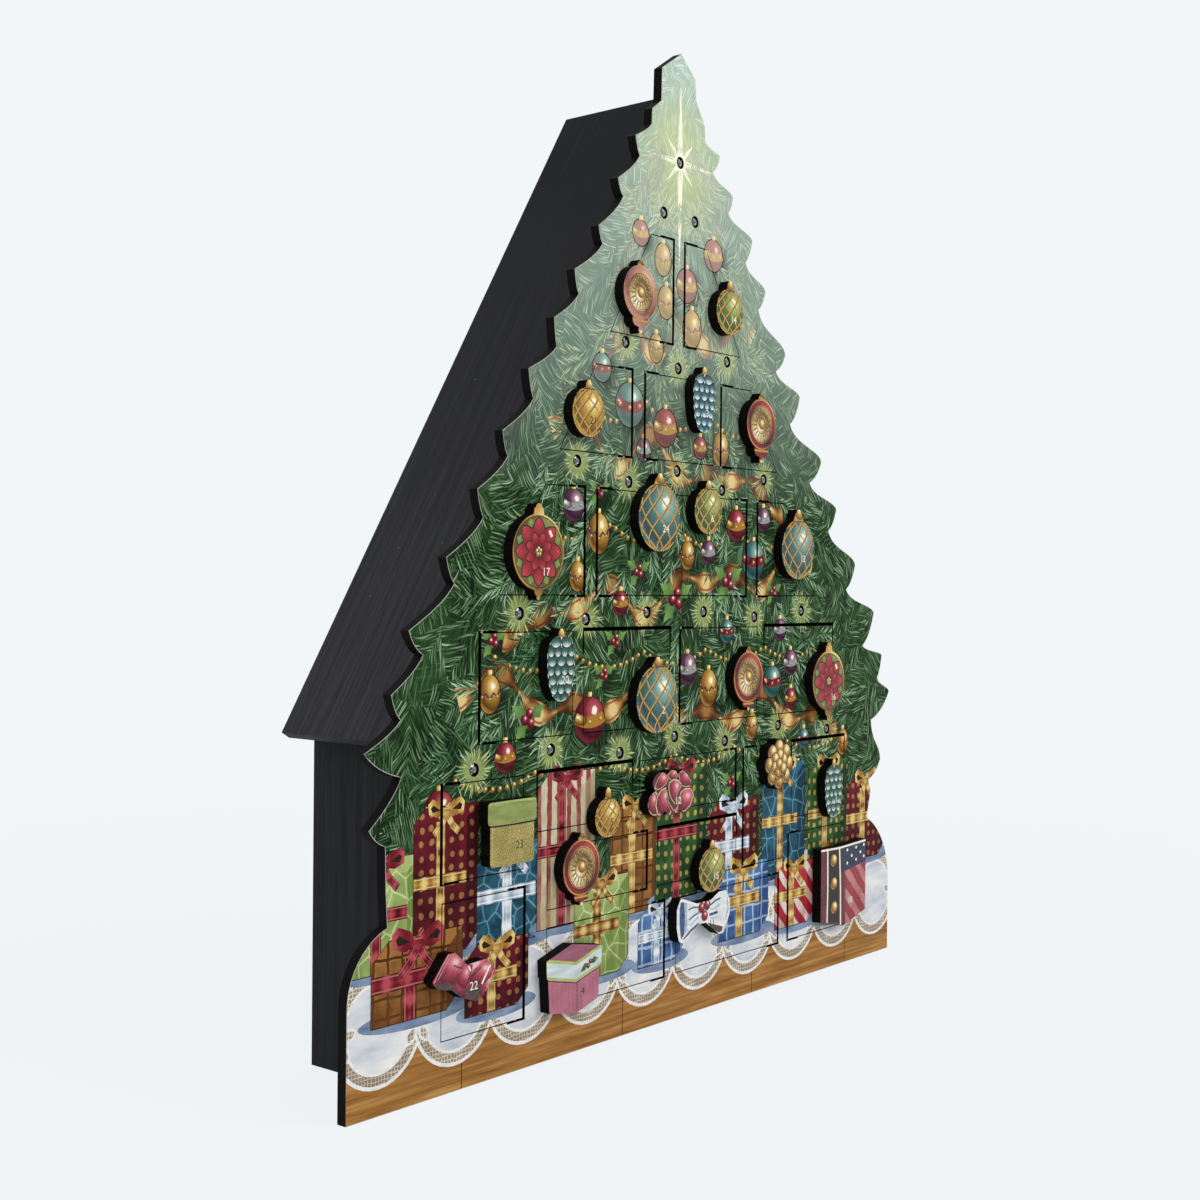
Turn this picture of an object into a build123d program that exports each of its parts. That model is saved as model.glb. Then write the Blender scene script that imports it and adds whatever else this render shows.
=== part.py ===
"""A wooden advent calendar: a tree-shaped front panel on a black house-shaped box.

X runs to the right, Y to the back and Z up, in millimetres. The origin is on the floor, under
the middle of the whole thing. Places on the front are shares of the half width and the height,
so the doors, lights, shelves and dividers follow when the calendar is made in another size.
"""
import os
from math import sqrt

from build123d import *

os.makedirs("parts", exist_ok=True)

# Sizes of the whole
tree_height = 480.0     # floor to the tip of the tree
half_width = 215.0      # centre line to the side of the panel's foot
box_depth = 75.0        # front of the panel to the back of the box

# Boards
panel_thick = 5.0       # front panel and the doors cut from it
board_thick = 5.0       # roof, walls and floor
shelf_thick = 4.0       # shelves and dividers
back_thick = 4.0        # back panel, set in between roof, walls and floor

# Door cuts and hinges
kerf = 0.5              # saw cut on the free sides of a door
hinge_clear = 0.75      # air round the square hinge edge as it turns
tick_gap = 1.2          # wider cut beside each hinge corner
tick_length = 10.0
pin_diameter = 1.6
pin_play = 0.05         # on the radius, in the door only
pin_in_panel = 3.0
pin_in_door = 6.0
pin_end_room = 0.3

# Knobs
knob_thick = 5.5
pad_height = 0.2        # glue pad under a knob: keeps its overhang off the panel
pad_diameter = 7.0
peg_diameter = 4.0
peg_length = 3.0
peg_shift_share = 0.2   # peg lies this share of the knob's size nearer to the hinge

# Lights
led_hole = 6.0
led_body = 5.0
led_flange = 7.2
led_flange_thick = 1.5
led_proud = 0.5
led_room = 10.0         # notch in shelves and dividers round a light
led_room_depth = 8.0

# Stop blocks behind the doors
stop_width = 8.0
stop_inset = 20.0       # middle of a block from the free edge of its door
stop_depth = 6.0
stop_lap = 3.0          # how far a block reaches up behind its door
stop_gap = 0.1          # air between the closed door and its block
shelf_drop = 1.0        # top of a shelf below the lower edge of its doors

# House section behind the tree, as shares of the half width (x) and the height (z)
ridge_share = 0.9596
eave_x_share = 0.870
eave_z_share = 0.3125
wall_share = 0.7837

# Door levels, as shares of the height
row1_low_share, row1_top_share = 0.7000, 0.8052
row2_low_share, row2_top_share = 0.5792, 0.6646
row3_low_share, row3_top_share = 0.4406, 0.5437
row4_low_share, row4_top_share = 0.3073, 0.4052
row5_top_share = 0.2723
ends_low_share = 0.1869     # outer doors of the fifth row
slim_low_share = 0.2188     # the two long slim doors of the fifth row
mid_top_share = 0.2000
mid_low_share = 0.1431
foot_low_share = 0.0479
foot_top_share = 0.1250
foot_ends_top_share = 0.1681

# Dividers, as shares of the half width
post1_share = 0.0
post2_shares = (-0.1472, 0.1560)
post3_shares = (-0.3101, 0.0210, 0.3088)
post4_shares = (-0.3490, -0.0056, 0.3520)
post_left_share, post_right_share = -0.4950, 0.4700
post_slim_share, post_mid_share, post_foot_share = -0.1440, -0.0837, -0.0116
post_tall_share = 0.2674

# Doors: number, left and right edge at the foot of the door (shares of the half width), lower
# and upper level, hinge side, side that follows the roof slope, knob shape, knob centre
# (shares of the half width and of the height), knob width and height (shares of the half width)
door_shares = [
    (1, -0.2465, -0.0256, row1_low_share, row1_top_share, "right", "left",
     "reflector", -0.1767, 0.7370, 0.1210, 0.1628),
    (2, 0.0256, 0.2465, row1_low_share, row1_top_share, "left", "right",
     "ball", 0.1674, 0.7469, 0.1080, 0.1280),
    (3, -0.4120, -0.1744, row2_low_share, row2_top_share, "right", "left",
     "ball", -0.3526, 0.6188, 0.1060, 0.1220),
    (4, -0.1200, 0.1414, row2_low_share, row2_top_share, "left", "",
     "cone", 0.0674, 0.6448, 0.0850, 0.1535),
    (5, 0.1767, 0.4120, row2_low_share, row2_top_share, "left", "right",
     "reflector", 0.3070, 0.6240, 0.1260, 0.1700),
    (6, -0.5980, -0.3349, row3_low_share, row3_top_share, "right", "left",
     "flower", -0.5093, 0.4802, 0.1580, 0.2000),
    (7, -0.2851, 0.0198, row3_low_share, row3_top_share, "left", "",
     "drop", -0.0991, 0.5240, 0.1540, 0.1767),
    (8, 0.0221, 0.2809, row3_low_share, row3_top_share, "right", "",
     "ball", 0.0884, 0.5328, 0.1090, 0.1256),
    (9, 0.3367, 0.5980, row3_low_share, row3_top_share, "left", "right",
     "drop", 0.4791, 0.4985, 0.1500, 0.1767),
    (10, -0.6500, -0.3674, row4_low_share, row4_top_share, "left", "",
     "cone", -0.4349, 0.3745, 0.0880, 0.1535),
    (11, -0.3284, -0.0242, row4_low_share, row4_top_share, "top", "",
     "drop", -0.1014, 0.3396, 0.1530, 0.1721),
    (12, 0.0214, 0.3349, row4_low_share, row4_top_share, "left", "",
     "reflector", 0.2619, 0.3500, 0.1260, 0.1550),
    (13, 0.3698, 0.6893, row4_low_share, row4_top_share, "top", "",
     "flower", 0.6326, 0.3406, 0.1550, 0.2040),
    (14, -0.7540, -0.5209, ends_low_share, row5_top_share, "left", "",
     "hatbox", -0.5814, 0.2245, 0.1450, 0.1310),
    (15, -0.4749, -0.1586, slim_low_share, row5_top_share, "top", "",
     "ball", -0.2744, 0.2286, 0.0870, 0.1090),
    (16, -0.1298, 0.2451, slim_low_share, row5_top_share, "right", "",
     "bow", -0.0453, 0.2385, 0.1744, 0.1023),
    (17, 0.2860, 0.4558, mid_low_share, row5_top_share, "left", "",
     "rosette", 0.4009, 0.2519, 0.1270, 0.1270),
    (18, 0.5009, 0.7540, ends_low_share, row5_top_share, "top", "",
     "cone", 0.6633, 0.2146, 0.0850, 0.1535),
    (19, -0.4419, -0.1051, mid_low_share, mid_top_share, "right", "",
     "reflector", -0.3619, 0.1781, 0.1220, 0.1550),
    (20, -0.0581, 0.2512, mid_low_share, mid_top_share, "top", "",
     "ball", 0.1177, 0.1540, 0.1060, 0.1230),
    (21, -0.7540, -0.5181, foot_low_share, foot_ends_top_share, "right", "",
     "ribbon", -0.7170, 0.1033, 0.1800, 0.1060),
    (22, -0.4419, -0.0372, foot_low_share, foot_top_share, "right", "",
     "present", -0.3814, 0.0750, 0.1830, 0.1500),
    (23, 0.0135, 0.4386, foot_low_share, foot_top_share, "right", "",
     "tie", 0.0865, 0.1036, 0.2130, 0.1065),
    (24, 0.4912, 0.7540, foot_low_share, foot_ends_top_share, "left", "",
     "gift", 0.7174, 0.0979, 0.2256, 0.2186),
]

# Lights: shares of the half width and of the height; those off the centre line come in pairs
led_centre_shares = [0.8875, 0.6750, 0.5688, 0.2938]
led_pair_shares = [
    (0.0600, 0.8312), (0.1953, 0.6917), (0.3581, 0.5688), (0.1800, 0.5531),
    (0.1093, 0.4229), (0.3233, 0.4167), (0.5372, 0.4229),
    (0.2023, 0.2833), (0.4349, 0.2938), (0.6674, 0.2833),
]

# Tree edge, top to foot: branch tips and the notches under them (shares as above)
left_neck_shares = [(0.072, 0.978), (0.074, 0.944), (0.107, 0.933), (0.109, 0.917)]
left_branch_shares = [
    ((0.167, 0.900), (0.151, 0.881)), ((0.228, 0.852), (0.209, 0.835)),
    ((0.293, 0.800), (0.279, 0.783)), ((0.372, 0.752), (0.358, 0.729)),
    ((0.437, 0.702), (0.428, 0.675)), ((0.516, 0.650), (0.500, 0.623)),
    ((0.593, 0.590), (0.577, 0.567)), ((0.665, 0.535), (0.647, 0.510)),
    ((0.751, 0.473), (0.728, 0.450)), ((0.851, 0.409), (0.812, 0.388)),
    ((0.895, 0.355), (0.870, 0.333)), ((0.963, 0.307), (0.867, 0.284)),
    ((0.949, 0.242), (0.907, 0.227)),
]
left_hip_shares = [(0.905, 0.190), (0.900, 0.158)]
right_neck_shares = [(0.056, 0.979), (0.060, 0.958), (0.095, 0.935), (0.098, 0.919)]
right_branch_shares = [
    ((0.158, 0.908), (0.130, 0.890)), ((0.214, 0.869), (0.195, 0.852)),
    ((0.298, 0.829), (0.270, 0.804)), ((0.358, 0.777), (0.328, 0.756)),
    ((0.451, 0.712), (0.409, 0.692)), ((0.521, 0.667), (0.477, 0.635)),
    ((0.628, 0.596), (0.572, 0.571)), ((0.705, 0.542), (0.667, 0.517)),
    ((0.805, 0.477), (0.760, 0.448)), ((0.907, 0.419), (0.849, 0.380)),
    ((0.953, 0.367), (0.930, 0.340)), ((0.995, 0.321), (0.898, 0.288)),
    ((0.951, 0.238), (0.888, 0.215)),
]
right_hip_shares = [(0.900, 0.200), (0.881, 0.169)]
foot_top_edge_share = 0.094     # height where the round of the foot meets its straight side
foot_bulge_shares = (0.962, 0.140)
# How a branch hangs: handles of its upper edge, then of its lower edge
left_upper_shares = ((0.22, 0.42), (0.72, 0.78))
right_upper_shares = ((0.15, 0.60), (0.95, 0.60))
lower_edge_share = (0.35, 0.75)

# Knob shapes
cap_base_share, cap_brow_share, cap_eye_share = 0.40, 0.17, 0.06
drop_sink_share = 0.12
reflector_cap_share = 0.08
flower_cap_share = 0.11
lobe_out_share, lobe_size_share = 0.11, 0.50
bead_size_share, tip_size_share = 0.62, 0.24
cone_cap_share = 0.10
cone_lean_share = 0.30
lid_height_share = 0.36
tub_width_share = 0.90
lid_round_share = 0.06
petal_count = 8
petal_ring_share, petal_size_share = 0.33, 0.17
bow_round_share = 0.035     # corners of the ribbon bow and of the bow tie
bow_loop_shares = [         # centre and half size of each loop
    (-0.30, -0.20, 0.20, 0.28), (-0.23, 0.25, 0.17, 0.23), (0.02, 0.30, 0.14, 0.20),
    (0.27, 0.22, 0.16, 0.25), (0.31, -0.20, 0.19, 0.28), (0.02, -0.11, 0.24, 0.39),
]
outline_shares = {
    "present": [
        (-0.50, 0.34), (-0.06, 0.50), (0.50, 0.38), (0.48, 0.12), (0.45, 0.10),
        (0.43, -0.36), (0.02, -0.50), (-0.44, -0.40), (-0.47, 0.08), (-0.49, 0.10),
    ],
    "gift": [
        (-0.50, 0.48), (-0.09, 0.47), (0.50, 0.50), (0.50, -0.37), (0.00, -0.50), (-0.50, -0.39),
    ],
    "ribbon": [
        (-0.50, 0.04), (-0.27, 0.50), (-0.15, 0.50), (0.04, 0.22), (0.34, 0.25), (0.50, 0.00),
        (0.30, -0.44), (0.18, -0.50), (-0.03, -0.38), (-0.20, -0.18), (-0.41, -0.11),
    ],
    "tie": [
        (-0.50, 0.27), (-0.43, 0.50), (-0.13, 0.30), (0.13, 0.31), (0.28, 0.45), (0.41, 0.45),
        (0.50, 0.20), (0.49, -0.10), (0.37, -0.50), (0.29, -0.50), (0.04, -0.17), (-0.11, -0.16),
        (-0.39, -0.50), (-0.46, -0.43), (-0.50, -0.15),
    ],
}

# Places that follow from the sizes
overall_depth = box_depth + knob_thick + pad_height
y_front = knob_thick + pad_height - overall_depth / 2
y_inside = y_front + panel_thick
y_rear = y_front + box_depth
y_back = y_rear - back_thick
y_axis = y_front + panel_thick / 2
y_knob = y_front - pad_height
axis_inset = panel_thick / 2
hinge_gap = axis_inset * (sqrt(2) - 1) + hinge_clear

ridge_z = ridge_share * tree_height
eave_x = eave_x_share * half_width
eave_z = eave_z_share * tree_height
roof_run = eave_x / (ridge_z - eave_z)
roof_stretch = sqrt(1 + roof_run ** 2)
roof_flat = board_thick * roof_stretch
roof_under_z = ridge_z - roof_flat / roof_run
wall_out = wall_share * half_width
wall_in = wall_out - board_thick
floor_top = foot_low_share * tree_height - shelf_drop


def roof_inside(z):
    """Half width of the room under the roof boards at a height."""
    return (ridge_z - z) * roof_run - roof_flat


def roof_meets(x):
    """Height at which the underside of the roof crosses an upright face."""
    return ridge_z - (x + roof_flat) / roof_run


def level(share):
    return share * tree_height


def across(share):
    return share * half_width


def slab(points, y_from, y_to):
    """A board with this outline in X and Z, from one depth to another."""
    with BuildSketch(Plane.XZ.offset(-y_from)) as face:
        with BuildLine():
            Polyline(*points, close=True)
        make_face()
    extrude(face.sketch, amount=y_from - y_to)


def door_corners(door, side_room=0.0, hinge_room=0.0):
    """Corners of a door from lower left round to upper left, with room added on each side."""
    number, left, right, low, top, hinge, slope = door[:7]
    z_low, z_top = level(low), level(top)
    rise = (z_top - z_low) * roof_run
    lean = side_room * roof_stretch
    x_left, x_right = across(left), across(right)
    x_left_top = x_left + (rise if slope == "left" else 0)
    x_right_top = x_right - (rise if slope == "right" else 0)
    left_room = hinge_room if hinge == "left" else (lean if slope == "left" else side_room)
    right_room = hinge_room if hinge == "right" else (lean if slope == "right" else side_room)
    top_room = hinge_room if hinge == "top" else side_room
    low_shift = side_room * roof_run
    top_shift = top_room * roof_run
    return [
        (x_left - left_room - (low_shift if slope == "left" else 0), z_low - side_room),
        (x_right + right_room + (low_shift if slope == "right" else 0), z_low - side_room),
        (x_right_top + right_room - (top_shift if slope == "right" else 0), z_top + top_room),
        (x_left_top - left_room + (top_shift if slope == "left" else 0), z_top + top_room),
    ]


def tick_corners(door):
    """The wider cut round the hinge end of a door."""
    number, left, right, low, top, hinge, slope = door[:7]
    x_left, x_right, z_low, z_top = across(left), across(right), level(low), level(top)
    if hinge == "top":
        x0, x1 = x_left - tick_gap, x_right + tick_gap
        z0, z1 = z_top - tick_length, z_top + hinge_gap
    else:
        z0, z1 = z_low - tick_gap, z_top + tick_gap
        if hinge == "left":
            x0, x1 = x_left - hinge_gap, x_left + tick_length
        else:
            x0, x1 = x_right - tick_length, x_right + hinge_gap
    return [(x0, z0), (x1, z0), (x1, z1), (x0, z1)]


def pin_starts(door):
    """Point on each hinge edge where a pin enters the door, with the way into the panel."""
    number, left, right, low, top, hinge, slope = door[:7]
    x_left, x_right, z_low, z_top = across(left), across(right), level(low), level(top)
    if hinge == "top":
        z = z_top - axis_inset
        return [((x_left, y_axis, z), (-1, 0, 0)), ((x_right, y_axis, z), (1, 0, 0))]
    x = x_left + axis_inset if hinge == "left" else x_right - axis_inset
    return [((x, y_axis, z_low), (0, 0, -1)), ((x, y_axis, z_top), (0, 0, 1))]


def rod(start, way, back, ahead, diameter, mode):
    """A round bar along a pin's line, from a distance back in the door to one ahead."""
    origin = tuple(s - back * w for s, w in zip(start, way))
    with BuildSketch(Plane(origin=origin, z_dir=way)) as end:
        Circle(diameter / 2)
    extrude(end.sketch, amount=back + ahead, mode=mode)


def peg_place(door):
    """Centre of the peg of a door's knob."""
    hinge, kind, cx, cz, wide, high = door[5], door[7], *door[8:12]
    x, z = across(cx), level(cz)
    if hinge == "top":
        return x, z + peg_shift_share * across(high)
    toward = 1 if hinge == "right" else -1
    return x + toward * peg_shift_share * across(wide), z


def cap(wide, z_top, length):
    """The little metal cap drawn on top of a hanging ornament: a tapered collar with a round eye."""
    eye = cap_eye_share * wide
    base, brow = cap_base_share * wide / 2, cap_brow_share * wide / 2
    with Locations((0, z_top - eye)):
        Circle(eye)
    polygon([(-base, z_top - length), (base, z_top - length), (brow, z_top - eye), (-brow, z_top - eye)])


def polygon(points):
    with BuildLine() as edge:
        Polyline(*points, close=True)
    make_face(edge.edges())


def knob_shape(kind, wide, high):
    """Outline of a knob about its centre, filling this width and height."""
    r = wide / 2
    top, foot = high / 2, -high / 2
    if kind == "ball":
        with Locations((0, foot + r)):
            Circle(r)
        cap(wide, top, high - r)
    elif kind == "drop":
        with Locations((0, foot + r)):
            Circle(r)
        cap(wide, top, high - wide + drop_sink_share * wide)
    elif kind in ("reflector", "flower"):
        share = reflector_cap_share if kind == "reflector" else flower_cap_share
        z_mid = top - share * high - r
        tail = z_mid - r - foot
        with Locations((0, z_mid)):
            Circle(r)
        cap(wide, top, share * high + r)
        with Locations((0, foot + tip_size_share * tail)):
            Circle(tip_size_share * tail)
        lobe = lobe_size_share * tail
        if kind == "reflector":
            with Locations((-lobe_out_share * wide, z_mid - r), (lobe_out_share * wide, z_mid - r)):
                Circle(lobe)
        with Locations((0, z_mid - r)):
            Circle(bead_size_share * tail)
    elif kind == "cone":
        z_cap = top - cone_cap_share * high
        z_fat = z_cap - cone_lean_share * high
        with BuildLine() as edge:
            Bezier((0, foot), (-r, foot), (-r, z_fat))
            Bezier((-r, z_fat), (-r, z_cap), (0, z_cap))
            Bezier((0, z_cap), (r, z_cap), (r, z_fat))
            Bezier((r, z_fat), (r, foot), (0, foot))
        make_face(edge.edges())
        cap(wide, top, cone_cap_share * high + r)
    elif kind == "hatbox":
        lid = lid_height_share * high
        with Locations((0, top - lid / 2)):
            RectangleRounded(wide, lid, lid_round_share * wide)
        with Locations((0, foot + high / 2 - lid / 4)):
            RectangleRounded(tub_width_share * wide, high - lid / 2, lid_round_share * wide)
    elif kind in outline_shares:
        polygon([(x * wide, z * high) for x, z in outline_shares[kind]])
        if kind in ("ribbon", "tie"):
            fillet(vertices(), bow_round_share * wide)
    elif kind == "bow":
        for x, z, half_wide, half_high in bow_loop_shares:
            with Locations((x * wide, z * high)):
                Ellipse(half_wide * wide, half_high * high)
    elif kind == "rosette":
        with PolarLocations(petal_ring_share * wide, petal_count):
            Circle(petal_size_share * wide)
        Circle(petal_ring_share * wide)


def edge_points(neck, branches, hip, side):
    """Mirror a list of edge shares to one side of the tree, in millimetres."""
    place = lambda share: (side * across(share[0]), level(share[1]))
    return [place(p) for p in neck], [(place(t), place(n)) for t, n in branches], [place(p) for p in hip]


def handle(start, end, share):
    """A point a share of the way across and a share of the way down from start to end."""
    return start[0] + share[0] * (end[0] - start[0]), start[1] + share[1] * (end[1] - start[1])


def tree_side(neck, branches, hip, upper, side):
    """Draw one side of the tree from its tip to the floor."""
    neck_line, branch_line, hip_line = edge_points(neck, branches, hip, side)
    Polyline((0, tree_height), *neck_line)
    start = neck_line[-1]
    for tip, notch in branch_line:
        Bezier(start, handle(start, tip, upper[0]), handle(start, tip, upper[1]), tip)
        Bezier(tip, handle(tip, notch, lower_edge_share), notch)
        start = notch
    Polyline(start, *hip_line)
    shoulder = (side * half_width, level(foot_top_edge_share))
    bulge = (side * across(foot_bulge_shares[0]), level(foot_bulge_shares[1]))
    ThreePointArc(hip_line[-1], bulge, shoulder)
    Line(shoulder, (side * half_width, 0))


led_places = [(0, level(z)) for z in led_centre_shares]
led_places += [(side * across(x), level(z)) for x, z in led_pair_shares for side in (-1, 1)]

# Front panel, with the door openings, the holes for the lights and the bores for the pins
with BuildPart() as front_panel:
    with BuildSketch(Plane.XZ.offset(-y_front)):
        with BuildLine():
            tree_side(left_neck_shares, left_branch_shares, left_hip_shares, left_upper_shares, -1)
            tree_side(right_neck_shares, right_branch_shares, right_hip_shares, right_upper_shares, 1)
            Line((-half_width, 0), (half_width, 0))
        make_face()
        for door in door_shares:
            for corners in (door_corners(door, kerf, hinge_gap), tick_corners(door)):
                with BuildLine():
                    Polyline(*corners, close=True)
                make_face(mode=Mode.SUBTRACT)
        with Locations(*led_places):
            Circle(led_hole / 2, mode=Mode.SUBTRACT)
    extrude(amount=-panel_thick)
    for door in door_shares:
        for start, way in pin_starts(door):
            rod(start, way, 0, tick_gap + pin_in_panel, pin_diameter, Mode.SUBTRACT)
front_panel.part.label = "front_panel"
export_step(front_panel.part, "parts/front_panel.step")

# Doors: cut from the panel, bored for their pins and for the peg of the knob
for door in door_shares:
    with BuildPart() as door_leaf:
        slab(door_corners(door), y_front, y_inside)
        for start, way in pin_starts(door):
            rod(start, way, pin_in_door + pin_end_room, 0, pin_diameter + 2 * pin_play, Mode.SUBTRACT)
        peg_x, peg_z = peg_place(door)
        rod((peg_x, y_front, peg_z), (0, 1, 0), 0, peg_length, peg_diameter, Mode.SUBTRACT)
    door_leaf.part.label = f"door_{door[0]:02d}"
    export_step(door_leaf.part, f"parts/door_{door[0]:02d}.step")

# Knobs: a flat cut-out on a thin pad, with a peg that goes into the door
for door in door_shares:
    kind, cx, cz, wide, high = door[7:12]
    with BuildPart() as knob:
        with BuildSketch(Plane.XZ.offset(-y_knob)):
            with Locations((across(cx), level(cz))):
                with BuildSketch(mode=Mode.PRIVATE) as outline:
                    knob_shape(kind, across(wide), across(high))
                add(outline.sketch)
        extrude(amount=knob_thick)
        peg_x, peg_z = peg_place(door)
        rod((peg_x, y_knob, peg_z), (0, 1, 0), 0, pad_height, pad_diameter, Mode.ADD)
        rod((peg_x, y_knob, peg_z), (0, 1, 0), 0, pad_height + peg_length, peg_diameter, Mode.ADD)
    knob.part.label = f"knob_{door[0]:02d}"
    export_step(knob.part, f"parts/knob_{door[0]:02d}.step")

# Hinge pins: two to a door, tight in the panel and free in the door
with BuildPart() as hinge_pins:
    for door in door_shares:
        for start, way in pin_starts(door):
            rod(start, way, pin_in_door, tick_gap + pin_in_panel, pin_diameter, Mode.ADD)
hinge_pins.part.label = "hinge_pins"
export_step(hinge_pins.part, "parts/hinge_pins.step")

# Lights: a round body through the panel, its flange against the back of the panel
with BuildPart() as led_lights:
    for x, z in led_places:
        with BuildSketch(Plane(origin=(x, y_inside, z), z_dir=(0, 1, 0))):
            Circle(led_flange / 2)
        extrude(amount=led_flange_thick)
        with BuildSketch(Plane(origin=(x, y_inside, z), z_dir=(0, -1, 0))):
            Circle(led_body / 2)
        extrude(amount=panel_thick + led_proud - led_body / 2)
        with Locations((x, y_front - led_proud + led_body / 2, z)):
            Sphere(led_body / 2)
led_lights.part.label = "led_lights"
export_step(led_lights.part, "parts/led_lights.step")

# Roof boards, meeting in an upright joint at the ridge and reaching out over the walls
for side, name in ((-1, "left_roof"), (1, "right_roof")):
    with BuildPart() as roof_board:
        eave_in_x = eave_x - board_thick / roof_stretch
        eave_in_z = eave_z - board_thick * roof_run / roof_stretch
        slab(
            [
                (0, ridge_z), (side * eave_x, eave_z),
                (side * eave_in_x, eave_in_z), (0, roof_under_z),
            ],
            y_inside, y_rear,
        )
    roof_board.part.label = name
    export_step(roof_board.part, f"parts/{name}.step")

# Side walls, cut to the roof slope at the top
for side, name in ((-1, "left_wall"), (1, "right_wall")):
    with BuildPart() as wall:
        slab(
            [
                (side * wall_out, 0), (side * wall_in, 0),
                (side * wall_in, roof_meets(wall_in)), (side * wall_out, roof_meets(wall_out)),
            ],
            y_inside, y_rear,
        )
    wall.part.label = name
    export_step(wall.part, f"parts/{name}.step")

# Back panel, set in flush
with BuildPart() as back_panel:
    slab(
        [
            (-wall_in, 0), (wall_in, 0), (wall_in, roof_meets(wall_in)),
            (0, roof_under_z), (-wall_in, roof_meets(wall_in)),
        ],
        y_back, y_rear,
    )
back_panel.part.label = "back_panel"
export_step(back_panel.part, "parts/back_panel.step")

# Floor board, raised to the level of the lowest doors
with BuildPart() as floor_board:
    slab(
        [
            (-wall_in, floor_top - board_thick), (wall_in, floor_top - board_thick),
            (wall_in, floor_top), (-wall_in, floor_top),
        ],
        y_inside, y_back,
    )
floor_board.part.label = "floor_board"
export_step(floor_board.part, "parts/floor_board.step")


def shelf_top(share):
    """Top of the shelf that serves the doors with this lower level."""
    return level(share) - shelf_drop


def post(share):
    """Faces of an upright divider about its centre line."""
    return across(share) - shelf_thick / 2, across(share) + shelf_thick / 2


def light_notches():
    """Clear the lights out of the shelves or dividers just made."""
    with Locations(*[(x, y_inside + led_room_depth / 2, z) for x, z in led_places]):
        Box(led_room, led_room_depth, led_room, mode=Mode.SUBTRACT)


ceiling_top = level(row1_top_share) + 2 * shelf_thick
row_tops = [ceiling_top] + [shelf_top(s) for s in (row1_low_share, row2_low_share, row3_low_share)]
long_top = shelf_top(row4_low_share)
ends_top = shelf_top(ends_low_share)
slim_top = shelf_top(slim_low_share)
mid_top = shelf_top(mid_low_share)

# Shelves: four reach from roof board to roof board, one from wall to wall, four between dividers
with BuildPart() as shelves:
    for top in row_tops:
        low = top - shelf_thick
        slab(
            [
                (-roof_inside(low), low), (roof_inside(low), low),
                (roof_inside(top), top), (-roof_inside(top), top),
            ],
            y_inside, y_back,
        )
    spans = [
        (-wall_in, wall_in, long_top),
        (-wall_in, post(post_left_share)[0], ends_top),
        (post(post_right_share)[1], wall_in, ends_top),
        (post(post_left_share)[1], post(post_tall_share)[0], slim_top),
        (post(post_left_share)[1], post(post_right_share)[0], mid_top),
    ]
    for x0, x1, top in spans:
        low = top - shelf_thick
        slab([(x0, low), (x1, low), (x1, top), (x0, top)], y_inside, y_back)
    light_notches()
shelves.part.label = "shelves"
export_step(shelves.part, "parts/shelves.step")

# Dividers: each stands on one shelf and reaches up to the next
with BuildPart() as dividers:
    stands = [(post1_share, row_tops[1], row_tops[0])]
    stands += [(s, row_tops[2], row_tops[1]) for s in post2_shares]
    stands += [(s, row_tops[3], row_tops[2]) for s in post3_shares]
    stands += [(s, long_top, row_tops[3]) for s in post4_shares]
    stands += [(s, floor_top, long_top) for s in (post_left_share, post_right_share)]
    stands += [
        (post_slim_share, slim_top, long_top), (post_mid_share, mid_top, slim_top),
        (post_foot_share, floor_top, mid_top), (post_tall_share, mid_top, long_top),
    ]
    for share, z0, z_next in stands:
        x0, x1 = post(share)
        z1 = z_next - shelf_thick
        slab([(x0, z0), (x1, z0), (x1, z1), (x0, z1)], y_inside, y_back)
    light_notches()
dividers.part.label = "dividers"
export_step(dividers.part, "parts/dividers.step")

# Stop blocks: one to a door, standing on its shelf behind the edge away from the hinge
with BuildPart() as door_stops:
    for door in door_shares:
        x_left, x_right, z_low = across(door[1]), across(door[2]), level(door[3])
        if door[5] == "top":
            x_mid = (x_left + x_right) / 2
        else:
            x_mid = x_left + stop_inset if door[5] == "right" else x_right - stop_inset
        x0, x1 = x_mid - stop_width / 2, x_mid + stop_width / 2
        z0, z1 = z_low - shelf_drop, z_low + stop_lap
        y0 = y_inside + stop_gap
        slab([(x0, z0), (x1, z0), (x1, z1), (x0, z1)], y0, y0 + stop_depth)
door_stops.part.label = "door_stops"
export_step(door_stops.part, "parts/door_stops.step")
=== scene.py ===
# %% [markdown]
# # A tree-shaped advent calendar
#
# The real thing is a shallow black box of thin board, shaped like a small house, with a
# tree-shaped panel on its front. Twenty-four doors are sawn out of the panel, each with a flat
# cut-out ornament for a knob, and small clear lamps stand in holes between them. The joinery
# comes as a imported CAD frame, so this lesson only adds what a printer and a painter would add:
# printed sheets, paint, lamps' insides and a studio to see them in.

# %% Load the frame
import math
import random

import bmesh
import bpy
from mathutils import Matrix, Vector
from mathutils.geometry import delaunay_2d_cdt


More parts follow.
